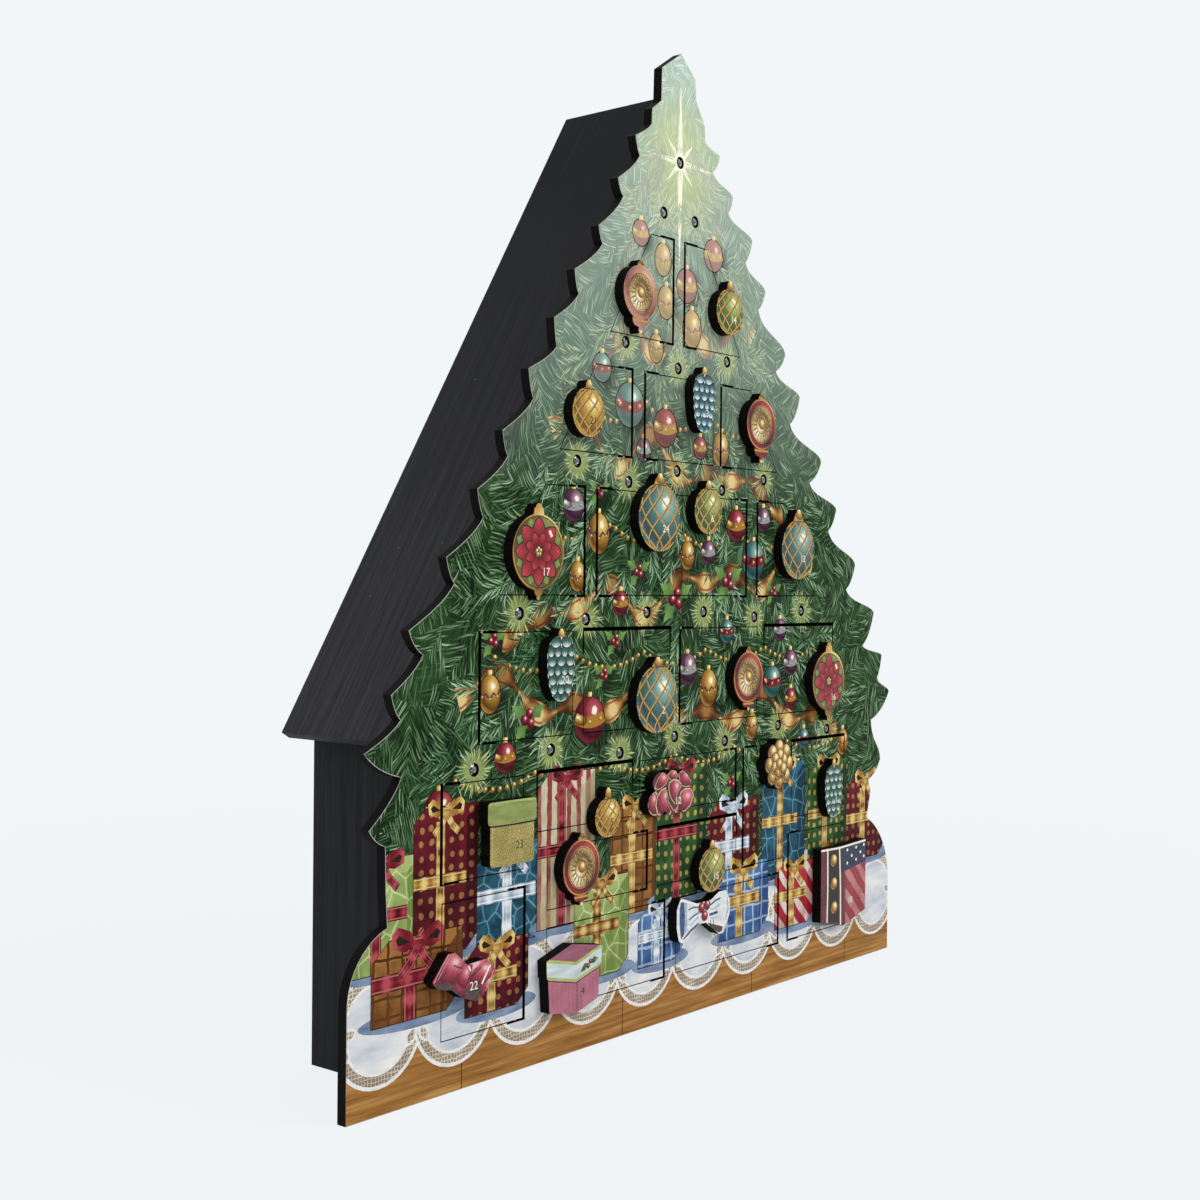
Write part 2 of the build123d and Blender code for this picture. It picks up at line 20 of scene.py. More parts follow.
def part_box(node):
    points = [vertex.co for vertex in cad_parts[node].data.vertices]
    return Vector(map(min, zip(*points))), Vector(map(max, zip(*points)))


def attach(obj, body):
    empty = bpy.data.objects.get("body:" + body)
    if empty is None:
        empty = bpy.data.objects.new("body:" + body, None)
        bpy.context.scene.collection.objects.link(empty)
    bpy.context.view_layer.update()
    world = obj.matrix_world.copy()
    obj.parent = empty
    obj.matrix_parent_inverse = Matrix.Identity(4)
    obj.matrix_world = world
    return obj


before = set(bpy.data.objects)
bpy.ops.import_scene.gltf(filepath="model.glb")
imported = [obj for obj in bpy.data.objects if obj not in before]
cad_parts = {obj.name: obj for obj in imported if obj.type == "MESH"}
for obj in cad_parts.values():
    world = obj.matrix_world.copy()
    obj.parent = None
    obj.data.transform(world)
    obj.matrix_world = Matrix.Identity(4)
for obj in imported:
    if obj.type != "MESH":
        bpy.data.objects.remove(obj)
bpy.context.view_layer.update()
MM = 0.001
numbers = range(1, 25)

# %% [markdown]
# ## Colour and nodes
#
# Paint colours are written as sRGB hex, the way a colour card gives them, and Blender's shaders
# want linear light, so one function turns the one into the other. A second function adds a node
# with its settings and its links in one line. It is the only helper for nodes, because the
# node's own name already says what kind it is.

# %% Colour and node helpers
def linear(colour):
    """The linear RGBA of an sRGB hex colour."""
    parts = [int(colour[i:i + 2], 16) / 255 for i in (1, 3, 5)]
    return [c / 12.92 if c <= 0.04045 else ((c + 0.055) / 1.055) ** 2.4 for c in parts] + [1.0]


def add(tree, kind, inputs=None, stops=None, **settings):
    """Add one shader node. Inputs are values or sockets, stops are a ramp's places and colours."""
    made = tree.nodes.new("ShaderNode" + kind)
    for name, value in settings.items():
        setattr(made, name, value)
    for key, value in (inputs or {}).items():
        if isinstance(value, bpy.types.NodeSocket):
            tree.links.new(value, made.inputs[key])
        else:
            made.inputs[key].default_value = value
    if stops:
        ramp = made.color_ramp.elements
        ramp[1].position = stops[-1][0]
        ramp[0].position = stops[0][0]
        ramp[1].color, ramp[0].color = linear(stops[-1][1]), linear(stops[0][1])
        for place, colour in stops[1:-1]:
            ramp.new(place).color = linear(colour)
    return made.outputs


print("mid grey in linear light:", round(linear("#808080")[0], 3))

# %% Finish helpers
def new_finish(name, **surface):
    """A material with its node tree and its surface node, whose plain values are set here."""
    finish = bpy.data.materials.new(name)
    finish.use_nodes = True
    skin = finish.node_tree.nodes["Principled BSDF"]
    for key, value in surface.items():
        skin.inputs[key.replace("_", " ")].default_value = value
    return finish, finish.node_tree, skin


def coat(tree, skin, **sockets):
    """Lead a worked-out colour, roughness or relief to the surface node."""
    for key, socket in sockets.items():
        tree.links.new(socket, skin.inputs[key.replace("_", " ")])


print("finish helpers ready")

# %% [markdown]
# ## Black paint on board
#
# The box is thin board, brushed with a matt black paint that leaves the grain faintly visible:
# long shallow streaks, with a sparse sprinkle of dust nibs. Real streaks are about a millimetre
# wide, which the render can hardly show, so they are drawn at twice that. They run along each
# board, and down the slope on the roof, so each board gets the same paint with its own grain
# direction. A noise stretched along the grain does that with no picture. On the roof the paint
# is made lighter towards the eaves: that is painted light.

# %% The black paint
def black_paint(name, grain, lean=0.0, painted_light_heights=(0.0, -1.0), shade="#050506", light="#242427"):
    """Brushed black paint. Grain is a streak's size in mm along x, y and z, before the lean, and
    painted light makes the paint lighter from the first to the second height in mm."""
    finish, tree, skin = new_finish(name, Specular_IOR_Level=0.1)
    where = add(tree, "TexCoord")["Object"]
    turned = add(tree, "VectorRotate", {"Vector": where, "Angle": lean}, rotation_type="Y_AXIS")[0]
    stretched = add(tree, "VectorMath", {0: turned, 1: [1 / (g * MM) for g in grain]},
                    operation="MULTIPLY")[0]
    streaks = add(tree, "TexNoise", {"Vector": stretched, "Scale": 1.0, "Detail": 5.0,
                                     "Roughness": 0.62})[0]
    patches = add(tree, "TexNoise", {"Vector": where, "Scale": 1 / (60 * MM), "Detail": 2.0})[0]
    nibs = add(tree, "TexVoronoi", {"Vector": where, "Scale": 1 / (18 * MM)})["Distance"]
    tone = add(tree, "ValToRGB", {0: streaks}, stops=[(0.38, shade), (0.68, light)])[0]
    worn = add(tree, "MapRange", {0: patches, 1: 0.45, 2: 0.8, 3: 0.0, 4: 0.4})[0]
    tone = add(tree, "Mix", {0: worn, 6: tone, 7: linear(light)}, data_type="RGBA")[2]
    # Painted light: between the two heights the paint is mixed towards a lighter streaky tone
    height = add(tree, "SeparateXYZ", {0: where})[2]
    grey = add(tree, "MapRange", {0: height, 1: painted_light_heights[0] * MM, 2: painted_light_heights[1] * MM,
                                  3: 0.0, 4: 0.65})[0]
    painted_light_tone = add(tree, "ValToRGB", {0: streaks}, stops=[(0.38, "#2c2b2f"), (0.68, "#474649")])[0]
    tone = add(tree, "Mix", {0: grey, 6: tone, 7: painted_light_tone}, data_type="RGBA")[2]
    speck = add(tree, "MapRange", {0: nibs, 1: 0.035, 2: 0.02, 3: 0.0, 4: 0.5})[0]
    tone = add(tree, "Mix", {0: speck, 6: tone, 7: linear("#66676b")}, data_type="RGBA")[2]
    rough = add(tree, "MapRange", {0: streaks, 1: 0.3, 2: 0.7, 3: 0.5, 4: 0.68})[0]
    relief = add(tree, "Bump", {"Strength": 0.4, "Distance": 0.15 * MM, "Height": streaks})[0]
    coat(tree, skin, Base_Color=tone, Roughness=rough, Normal=relief)
    return finish


print("black paint ready")

# %% A paint for each board
def roof_lean(node):
    """How far a roof board leans from upright, from its own box."""
    low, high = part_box(node)
    return math.atan2(high[0] - low[0], high[2] - low[2])


upright, level_grain = (2.2, 2.2, 70), (70, 2.2, 2.2)
# The roof is painted lighter from 430 mm down to 160 mm, towards the eaves: painted light
roof = dict(painted_light_heights=(430, 160), shade="#0a0a0b", light="#151517")
wall = dict(shade="#111113", light="#26262a")
paints = {
    "left_roof": black_paint("black_paint_left_roof", upright, -roof_lean("left_roof"), **roof),
    "right_roof": black_paint("black_paint_right_roof", upright, roof_lean("right_roof"), **roof),
    **{node: black_paint(f"black_paint_{node.removesuffix('_panel')}", upright, **wall)
       for node in ("left_wall", "right_wall", "back_panel")},
    "floor_board": black_paint("black_paint_floor", level_grain),
    "shelves": black_paint("black_paint_shelves", level_grain),
    "dividers": black_paint("black_paint_dividers", upright),
    "door_stops": black_paint("black_paint_stops", (12, 2.2, 12)),
}
print("black paints:", len(paints))

# %% [markdown]
# ## Sawn board, steel and lamps
#
# The panel, the doors and the knobs are fibreboard, sawn and sprayed black all round before the
# print is laid on. Where the print stops a third of a millimetre short of the rim, the sanded
# front shows as a thin cream line. The same finish can give both, because only the front faces
# forwards: the normal's Y picks the cream there. The pins are drawn steel wire, and the lamps
# are clear epoxy domes with a slight milky tint.

# %% Fibreboard
def sawn_board(name):
    """Sprayed black edges with saw marks, and a cream sanded front."""
    finish, tree, skin = new_finish(name, Specular_IOR_Level=0.06)
    where = add(tree, "TexCoord")["Object"]
    marks = add(tree, "VectorMath", {0: where, 1: [1 / (1.5 * MM), 1 / (20 * MM), 1 / (1.5 * MM)]},
                operation="MULTIPLY")[0]
    fibre = add(tree, "TexNoise", {"Vector": marks, "Scale": 1.0, "Detail": 4.0})[0]
    black = add(tree, "ValToRGB", {0: fibre}, stops=[(0.35, "#040303"), (0.72, "#100e0d")])[0]
    cream = add(tree, "ValToRGB", {0: fibre}, stops=[(0.3, "#a3a294"), (0.7, "#c6c6b6")])[0]
    facing = add(tree, "SeparateXYZ", {0: add(tree, "TexCoord")["Normal"]})[1]
    front = add(tree, "MapRange", {0: facing, 1: -0.9, 2: -0.98, 3: 0.0, 4: 1.0})[0]
    tone = add(tree, "Mix", {0: front, 6: black, 7: cream}, data_type="RGBA")[2]
    rough = add(tree, "MapRange", {0: fibre, 1: 0.3, 2: 0.7, 3: 0.55, 4: 0.75})[0]
    relief = add(tree, "Bump", {"Strength": 0.3, "Distance": 0.1 * MM, "Height": fibre})[0]
    coat(tree, skin, Base_Color=tone, Roughness=rough, Normal=relief)
    return finish


board = sawn_board("sprayed_fibreboard")
print("fibreboard:", len(board.node_tree.nodes), "nodes")

# %% Steel and epoxy
def drawn_steel():
    """Drawn wire: bright, with a fine mottle about 0.4 mm across."""
    finish, tree, skin = new_finish("drawn_steel_wire", Metallic=1.0)
    where = add(tree, "TexCoord")["Object"]
    mottle = add(tree, "TexNoise", {"Vector": where, "Scale": 1 / (0.4 * MM), "Detail": 3.0})[0]
    tone = add(tree, "ValToRGB", {0: mottle}, stops=[(0.3, "#8d8f92"), (0.7, "#c3c5c8")])[0]
    rough = add(tree, "MapRange", {0: mottle, 1: 0.3, 2: 0.7, 3: 0.25, 4: 0.42})[0]
    coat(tree, skin, Base_Color=tone, Roughness=rough)
    return finish


def clear_epoxy():
    """Cast clear epoxy: glassy, with a faint cloud from the mould."""
    finish, tree, skin = new_finish("clear_cast_epoxy", IOR=1.52, Transmission_Weight=0.92)
    where = add(tree, "TexCoord")["Object"]
    cloud = add(tree, "TexNoise", {"Vector": where, "Scale": 1 / (1.2 * MM), "Detail": 3.0})[0]
    tone = add(tree, "ValToRGB", {0: cloud}, stops=[(0.3, "#8b918d"), (0.7, "#b3b9b5")])[0]
    rough = add(tree, "MapRange", {0: cloud, 1: 0.3, 2: 0.7, 3: 0.03, 4: 0.10})[0]
    coat(tree, skin, Base_Color=tone, Roughness=rough)
    return finish


paints["hinge_pins"] = drawn_steel()
paints["led_lights"] = clear_epoxy()
print("finishes so far:", len(paints))

# %% Paint the CAD nodes
paints["front_panel"] = board
for number in numbers:
    paints[f"door_{number:02d}"] = board
    paints[f"knob_{number:02d}"] = board
for node, finish in paints.items():
    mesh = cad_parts[node].data
    mesh.materials.clear()
    mesh.materials.append(finish)
print("CAD nodes painted:", len(paints), "of", len(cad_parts))

# %% [markdown]
# ## The outlines to print on
#
# Every printed sheet has to end exactly where its board ends, so its outline is read from the
# CAD mesh: the triangles of the flat front face are gathered, and the edges that only one of
# them uses are chained into loops. The print is laid out in millimetres, with x to the right
# and z up, because that is how a sheet would be set for cutting.

# %% Loops round a front face
def front_loops(node):
    """The loops round the flat front of a CAD node, in mm, the widest first."""
    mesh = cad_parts[node].data
    front = min(v.co.y for v in mesh.vertices)
    spot = [(round(v.co.x / MM, 3), round(v.co.z / MM, 3)) for v in mesh.vertices]
    edges = set()
    for face in mesh.polygons:
        if face.normal.y < -0.99 and abs(face.center.y - front) < 0.01 * MM:
            ring = [spot[i] for i in face.vertices]
            for pair in zip(ring, ring[1:] + ring[:1]):
                if pair[::-1] in edges:
                    edges.remove(pair[::-1])
                else:
                    edges.add(pair)
    follow, loops = dict(edges), []
    while follow:
        loop = [next(iter(follow))]
        while loop[-1] in follow:
            loop.append(follow.pop(loop[-1]))
        loops.append(loop[:-1])
    return sorted(loops, key=lambda loop: middle(loop)[2], reverse=True), front / MM


def middle(loop):
    """The centre of a loop's box, and half its width and height."""
    xs, zs = [p[0] for p in loop], [p[1] for p in loop]
    return ((min(xs) + max(xs)) / 2, (min(zs) + max(zs)) / 2,
            (max(xs) - min(xs)) / 2, (max(zs) - min(zs)) / 2)


print("front of door 1:", len(front_loops("door_01")[0]), "loops")

# %% Read the outlines
def area_of(loop):
    """The area inside a loop, below zero where it runs clockwise."""
    return sum(a[0] * b[1] - b[0] * a[1] for a, b in zip(loop, loop[1:] + loop[:1])) / 2


def drawn_in(loop, gap):
    """A loop moved inwards by a gap, corner by corner."""
    side = 1 if area_of(loop) > 0 else -1
    moved = []
    for before, here, after in zip(loop[-1:] + loop[:-1], loop, loop[1:] + loop[:1]):
        way = Vector(after) - Vector(before)
        if way.length > 0:
            normal = Vector((-way.y, way.x)).normalized() * side * gap
            moved.append((here[0] + normal.x, here[1] + normal.y))
    return moved


RIM, LARGEST_HOLE = 0.35, 5.0  # the cream line, and half of what is still a lamp's hole, in mm
panel_loops, panel_front = front_loops("front_panel")
outline = drawn_in(panel_loops[0], RIM)
openings = [loop for loop in panel_loops[1:] if middle(loop)[2] > LARGEST_HOLE]
lamp_holes = [loop for loop in panel_loops[1:] if middle(loop)[2] <= LARGEST_HOLE]
lamps = [middle(loop)[:2] for loop in lamp_holes]
doors = {number: front_loops(f"door_{number:02d}")[0] for number in numbers}
knobs = {number: front_loops(f"knob_{number:02d}")[0][0] for number in numbers}
knob_front = front_loops("knob_01")[1]
print("outline points:", len(outline), "openings:", len(openings),
      "lamp holes:", len(lamp_holes), "door loops:", sum(map(len, doors.values())))

# %% [markdown]
# ## Shapes for the print
#
# A printed picture is flat, but its motifs still have edges, and an edge is best kept as
# geometry, so it stays sharp at any size. Each motif here is a polygon with a finish and with
# its own small coordinates: (0, 0) at its middle and 1 at its rim. The finish shades the motif
# from those, the way a painter turns a circle into a ball.

# %% Simple motifs
picture = []


def paint(motifs, finish, polygon, place, turn=0.0):
    """Add a motif. Place is its middle x, z and its half width and height, in mm."""
    motifs.append((polygon, finish, place, turn))


def disc(x, z, r, points=24, high=None):
    """A circle, or an ellipse with its own half height."""
    high = high or r
    turns = [2 * math.pi * i / points for i in range(points)]
    return [(x + r * math.cos(t), z + high * math.sin(t)) for t in turns]


def dot(motifs, finish, x, z, r, points=24, turn=0.0):
    """Add a round motif."""
    paint(motifs, finish, disc(x, z, r, points), (x, z, r, r), turn)


def rays(x, z, long, short, count, turn=0.0):
    """A star with long and short points by turns."""
    sizes = [long, short] * count
    turns = [turn + math.pi * i / count for i in range(2 * count)]
    return [(x + r * math.sin(t), z + r * math.cos(t)) for r, t in zip(sizes, turns)]


def box_of(x0, x1, z0, z1):
    """A rectangle."""
    return [(x0, z0), (x1, z0), (x1, z1), (x0, z1)]


print("points of a disc:", len(disc(0, 0, 1)))

# %% Bands, flowers and bows
def strip(motifs, finish, path, widths):
    """A band along a path, with one width or one at each point. Its pieces know how far along
    they are."""
    points, gone = [Vector(p) for p in path], 0.0
    wide = widths if isinstance(widths, list) else [widths] * len(points)
    sides = []
    for i in range(len(points)):
        way = (points[min(i + 1, len(points) - 1)] - points[max(i - 1, 0)]).normalized()
        sides.append(Vector((-way.y, way.x)) * wide[i] / 2)
    for i, (a, b) in enumerate(zip(points, points[1:])):
        quad = [a + sides[i], a - sides[i], b - sides[i + 1], b + sides[i + 1]]
        way, half = b - a, (wide[i] + wide[i + 1]) / 4
        start = a - way.normalized() * gone
        paint(motifs, finish, [tuple(p) for p in quad], (start.x, start.y, max(wide), half),
              math.atan2(way.y, way.x))
        gone += way.length


def flower(motifs, finish, x, z, inner, outer, width, count, turn):
    """Pointed petals round a middle."""
    shape = ((0, 0.25), (0.3, 0.9), (0.6, 1.0), (0.85, 0.6), (1, 0), (0.85, -0.6), (0.6, -1.0),
             (0.3, -0.9), (0, -0.25))
    for i in range(count):
        way = turn + 2 * math.pi * i / count
        petal = []
        for u, v in shape:
            far, side = inner + (outer - inner) * u, width * v
            petal.append((x + far * math.cos(way) - side * math.sin(way),
                          z + far * math.sin(way) + side * math.cos(way)))
        mid = (inner + outer) / 2
        paint(motifs, finish, petal,
              (x + mid * math.cos(way), z + mid * math.sin(way), (outer - inner) / 2, width), way)


def tied_bow(motifs, finish, inside, x, z, size):
    """A ribbon bow: two tails, two loops that show their dark inside, and a knot."""
    for side in (-1, 1):
        strip(motifs, finish, [(x, z), (x + 0.35 * side * size, z - 0.5 * size),
                               (x + 0.75 * side * size, z - 0.85 * size)], 0.34 * size)
    for side in (-1, 1):
        loop = [(0, 0), (0.35, 0.5), (0.85, 0.68), (1.1, 0.45), (1.05, 0.05), (0.6, -0.12)]
        paint(motifs, finish, [(x + side * u * size, z + v * size) for u, v in loop],
              (x, z + 0.25 * size, size, 0.8 * size), 0.0 if side > 0 else math.pi)
        hollow = [(0.35, 0.16), (0.8, 0.42), (0.95, 0.3), (0.85, 0.1)]
        paint(motifs, inside, [(x + side * u * size, z + v * size) for u, v in hollow],
              (x + 0.65 * side * size, z + 0.25 * size, 0.4 * size, 0.3 * size))
    paint(motifs, finish, disc(x, z + 0.05 * size, 0.24 * size, 14), (x, z, 0.5 * size, 0.3 * size))


print("bands, flowers and bows ready")

# %% [markdown]
# ## Printed and varnished paper
#
# The picture is a litho print on paper, glued down and given a satin varnish; the knobs have a
# glossier one. Varnish gives a soft highlight with a very fine orange-peel grain. All printed
# finishes share that surface and differ in colour alone, so one function starts them all. It
# hands back the two sets of coordinates that a printed colour can use: millimetres on the
# object, and the motif's own.

# %% The varnished surface
def printed(name, gloss=False):
    """Start a printed finish: its tree, its surface, its place on the object and in the motif."""
    finish, tree, skin = new_finish(name, Specular_IOR_Level=0.25 if gloss else 0.05)
    where = add(tree, "VectorMath", {0: add(tree, "TexCoord")["Object"], "Scale": 1 / MM},
                operation="SCALE")[0]
    motif = add(tree, "UVMap", uv_map="motif")[0]
    grain = add(tree, "TexNoise", {"Vector": where, "Scale": 1 / 0.8, "Detail": 3.0})[0]
    smooth = (0.2, 0.34) if gloss else (0.4, 0.55)
    rough = add(tree, "MapRange", {0: grain, 1: 0.3, 2: 0.7, 3: smooth[0], 4: smooth[1]})[0]
    relief = add(tree, "Bump", {"Strength": 0.12, "Distance": 0.03 * MM, "Height": grain})[0]
    coat(tree, skin, Roughness=rough, Normal=relief)
    prints[name] = finish
    return tree, skin, where, motif


def flat_sheet(tree, where):
    """The place on the sheet, for textures that are drawn flat."""
    spot = add(tree, "SeparateXYZ", {0: where})
    return add(tree, "CombineXYZ", {0: spot[0], 1: spot[2]})[0]


def hazed(tree, where, tone, haze, most):
    """Fade a printed tone towards a misty one, up the tree."""
    height = add(tree, "SeparateXYZ", {0: where})[2]
    mist = add(tree, "MapRange", {0: height, 1: MIST[0], 2: MIST[1], 3: 0.0, 4: most})[0]
    return add(tree, "Mix", {0: mist, 6: tone, 7: linear(haze)}, data_type="RGBA")[2]


MIST = (255.0, 475.0)  # the heights in mm where the mist starts and is thickest
prints = {}
print("varnish ready, mist over", MIST[1] - MIST[0], "mm")

# %% [markdown]
# ## Fir boughs
#
# A painter fills a tree with sprays: a twig, and needles swept forward on both sides of it.
# Cutting out every needle would drown the mesh, so the finish draws all but a few. A Voronoi
# texture gives each spray a middle and a random turn. Folded along its twig, leaned forward and
# stretched, the spray is filled by a second Voronoi texture, and every long cell of that is one
# brush stroke, with a belly and a tip. Layers from dark to light, ever sparser, give the depth.
# The top of the tree fades to a misty grey-green. Round each lamp the needles are lit yellow,
# and under each ball they lie in its shade.

# %% One layer of sprays
def sprays(tree, where, size, stroke, seed, share, layer):
    """How much the strokes of a layer cover and how light each is, from sizes in mm and their
    share."""
    place = add(tree, "VectorMath", {0: where, 1: [1 / size] * 3, 2: [seed, 0.37 * seed, 0.0]},
                operation="MULTIPLY_ADD")[0]
    spray = add(tree, "TexVoronoi", {"Vector": place, "Scale": 1.0}, voronoi_dimensions="2D")
    dice = add(tree, "SeparateXYZ", {0: spray["Color"]})
    sideways = add(tree, "SeparateXYZ", {0: where})[0]
    turn = add(tree, "Math", {0: sideways, 1: FAN, 2: math.pi / 2 - SPREAD / 2},
               operation="MULTIPLY_ADD")[0]
    turn = add(tree, "Math", {0: dice[0], 1: SPREAD, 2: turn}, operation="MULTIPLY_ADD")[0]
    off = add(tree, "VectorMath", {0: place, 1: spray["Position"]}, operation="SUBTRACT")[0]
    twig = add(tree, "VectorRotate", {"Vector": off, "Angle": turn}, rotation_type="Z_AXIS")[0]
    along, across, _ = add(tree, "SeparateXYZ", {0: twig}).values()
    aside = add(tree, "Math", {0: across}, operation="ABSOLUTE")[0]
    fold = add(tree, "CombineXYZ", {0: along, 1: aside})[0]
    lean = add(tree, "VectorRotate", {"Vector": fold, "Angle": NEEDLE_LEAN},
               rotation_type="Z_AXIS")[0]
    flip = add(tree, "Math", {0: across}, operation="SIGN")[0]
    # Every spray, side and layer takes its strokes from another patch of the texture
    shift = add(tree, "CombineXYZ", {
        0: add(tree, "Math", {0: dice[1], 1: 60.0, 2: 7.3 * layer}, operation="MULTIPLY_ADD")[0],
        1: add(tree, "Math", {0: flip, 1: 30.0, 2: 3.7 * layer}, operation="MULTIPLY_ADD")[0]})[0]
    long, wide = stroke
    field = add(tree, "VectorMath", {0: lean, 1: [size / long, size / wide, 0.0], 2: shift},
                operation="MULTIPLY_ADD")[0]
    needle = add(tree, "TexVoronoi", {"Vector": field, "Scale": 1.0, "Randomness": 0.75},
                 voronoi_dimensions="2D")
    inside = add(tree, "VectorMath", {0: field, 1: needle["Position"]}, operation="SUBTRACT")[0]
    reach, beside, _ = add(tree, "SeparateXYZ", {0: inside}).values()
    belly = add(tree, "Math", {0: reach, 1: reach}, operation="MULTIPLY")[0]
    belly = add(tree, "Math", {0: belly, 1: -TAPER, 2: BELLY}, operation="MULTIPLY_ADD")[0]
    beside = add(tree, "Math", {0: beside}, operation="ABSOLUTE")[0]
    room = add(tree, "Math", {0: belly, 1: beside}, operation="SUBTRACT")[0]
    cover = add(tree, "MapRange", {0: room, 1: 0.0, 2: SOFT}, interpolation_type="SMOOTHSTEP")[0]
    chance = add(tree, "SeparateXYZ", {0: needle["Color"]})
    kept = add(tree, "Math", {0: chance[1], 1: share}, operation="LESS_THAN")[0]
    cover = add(tree, "Math", {0: cover, 1: kept}, operation="MULTIPLY")[0]
    return cover, chance[0]


SPREAD, NEEDLE_LEAN = 2.6, math.radians(-38)  # how far twigs and needles turn, in radians
FAN = -0.006  # how far twigs turn outwards, in radians per mm from the middle
BELLY, TAPER, SOFT = 0.32, 1.2, 0.16  # a stroke's half width, its thinning and its soft edge
print("twigs spread over", round(math.degrees(SPREAD)), "degrees")

# %% The boughs' finish
# Size of a spray, of a stroke, seed, share, dark and pale green, and the misty tone of each layer
layers = [
    (27, (12, 1.5), 3.1, 0.85, "#12260e", "#2c4b27", "#b4cab8"),
    (27, (12, 1.5), 3.1, 0.6, "#1c381b", "#40603b", "#c0d4c2"),
    (25, (11, 1.3), 19.3, 0.55, "#264525", "#52734a", "#cbdccb"),
    (25, (11, 1.3), 19.3, 0.4, "#3b5d38", "#7b9870", "#dfead9"),
    (25, (11, 1.2), 19.3, 0.22, "#5a7b55", "#a5bb98", "#f1f6ea"),
]


def boughs(name, halo, strength):
    """Fir sprays, with a halo of another tone in a round motif."""
    tree, skin, where, motif = printed(name)
    sheet = flat_sheet(tree, where)
    sway = add(tree, "TexNoise", {"Vector": sheet, "Scale": 1 / 18, "Detail": 1.0})["Color"]
    sway = add(tree, "VectorMath", {0: sway, 1: [7.0, 7.0, 0.0], 2: sheet},
               operation="MULTIPLY_ADD")[0]
    depth = add(tree, "TexNoise", {"Vector": sheet, "Scale": 1 / 26, "Detail": 3.0})[0]
    tone = add(tree, "ValToRGB", {0: depth}, stops=[
        (0.32, "#0a1806"), (0.5, "#172d13"), (0.68, "#264522")])[0]
    tone = hazed(tree, where, tone, "#bccfbe", 0.9)
    for layer, (size, stroke, seed, share, dark, pale, haze) in enumerate(layers):
        cover, light = sprays(tree, sway, size, stroke, seed, share, layer)
        green = add(tree, "ValToRGB", {0: light}, stops=[(0.0, dark), (1.0, pale)])[0]
        green = hazed(tree, where, green, haze, 0.9)
        tone = add(tree, "Mix", {0: cover, 6: tone, 7: green}, data_type="RGBA")[2]
    far = add(tree, "VectorMath", {0: motif}, operation="LENGTH")["Value"]
    lit = add(tree, "MapRange", {0: far, 1: 1.0, 2: 0.1, 3: 0.0, 4: strength},
              interpolation_type="SMOOTHSTEP")[0]
    tone = add(tree, "Mix", {0: lit, 6: tone, 7: linear(halo)}, data_type="RGBA")[2]
    coat(tree, skin, Base_Color=tone)
    print(name, len(tree.nodes), "nodes")


boughs("fir_boughs", "#d3d98a", 0.5)
boughs("fir_shade", "#0a1608", 0.8)

# %% [markdown]
# ## Painted balls, ribbons and petals
#
# A painted glass ball has a spark at the upper right, a light and a dark side, and a little
# reflected light along its far rim. The distance from the spark, in the motif's coordinates,
# runs through a colour ramp that holds those five tones. Ribbons take their folds from a noise
# along them and a pale wired edge from how far across they are. Petals, leaves and cone scales
# run from root to tip.

# %% Painted balls
def painted_ball(name, light, mid, dark, spark="#fff4dc", gloss=False):
    """Round shading from a spark at the upper right."""
    tree, skin, where, motif = printed(name, gloss)
    away = add(tree, "VectorMath", {0: motif, 1: [0.3, 0.4, 0.0]}, operation="DISTANCE")["Value"]
    brush = add(tree, "TexNoise", {"Vector": where, "Scale": 1 / 2.2, "Detail": 3.0})[0]
    away = add(tree, "Math", {0: brush, 1: 0.3, 2: away}, operation="MULTIPLY_ADD")[0]
    away = add(tree, "MapRange", {0: away, 1: 0.15, 2: 1.65})[0]
    tone = add(tree, "ValToRGB", {0: away}, stops=[
        (0.0, spark), (0.08, spark), (0.15, light), (0.42, mid), (0.78, dark), (0.96, mid)])[0]
    if not gloss:
        tone = hazed(tree, where, hazed(tree, where, tone, light, 0.6), "#ece6cd", 0.5)
    coat(tree, skin, Base_Color=tone)


painted_ball("ball_ruby", "#b8545a", "#76202b", "#380b14")
painted_ball("ball_gold", "#dcbd6c", "#a87a30", "#573612")
painted_ball("ball_plum", "#a58396", "#593249", "#26121f")
painted_ball("ball_frost", "#dcd9cf", "#8f9595", "#46525a")
painted_ball("ball_teal", "#86aea2", "#3c6a67", "#17383a")
painted_ball("bead_gold", "#f0d586", "#c18d38", "#6f4818")
print("printed finishes:", len(prints))

# %% Painted ribbons
def painted_ribbon(name, light, mid, dark, edge, gloss=False):
    """Satin: soft folds along the ribbon, a sheen down its middle and a wire near each edge."""
    tree, skin, where, motif = printed(name, gloss)
    parts = add(tree, "SeparateXYZ", {0: motif})
    along = add(tree, "CombineXYZ", {0: parts[0]})[0]
    folds = add(tree, "TexNoise", {"Vector": along, "Scale": 1.3, "Detail": 0.0})[0]
    brush = add(tree, "TexNoise", {"Vector": where, "Scale": 1 / 1.5, "Detail": 2.0})[0]
    folds = add(tree, "Math", {0: brush, 1: 0.2, 2: folds}, operation="MULTIPLY_ADD")[0]
    across = add(tree, "Math", {0: parts[1]}, operation="ABSOLUTE")[0]
    folds = add(tree, "Math", {0: across, 1: -0.22, 2: folds}, operation="MULTIPLY_ADD")[0]
    tone = add(tree, "ValToRGB", {0: folds}, stops=[(0.30, dark), (0.48, mid), (0.70, light)])[0]
    wire = add(tree, "Math", {0: across, 1: 0.72, 2: 0.1}, operation="COMPARE")[0]
    wire = add(tree, "Math", {0: wire, 1: 0.8}, operation="MULTIPLY")[0]
    tone = add(tree, "Mix", {0: wire, 6: tone, 7: linear(edge)}, data_type="RGBA")[2]
    tone = tone if gloss else hazed(tree, where, tone, "#e4e4cf", 0.7)
    coat(tree, skin, Base_Color=tone)


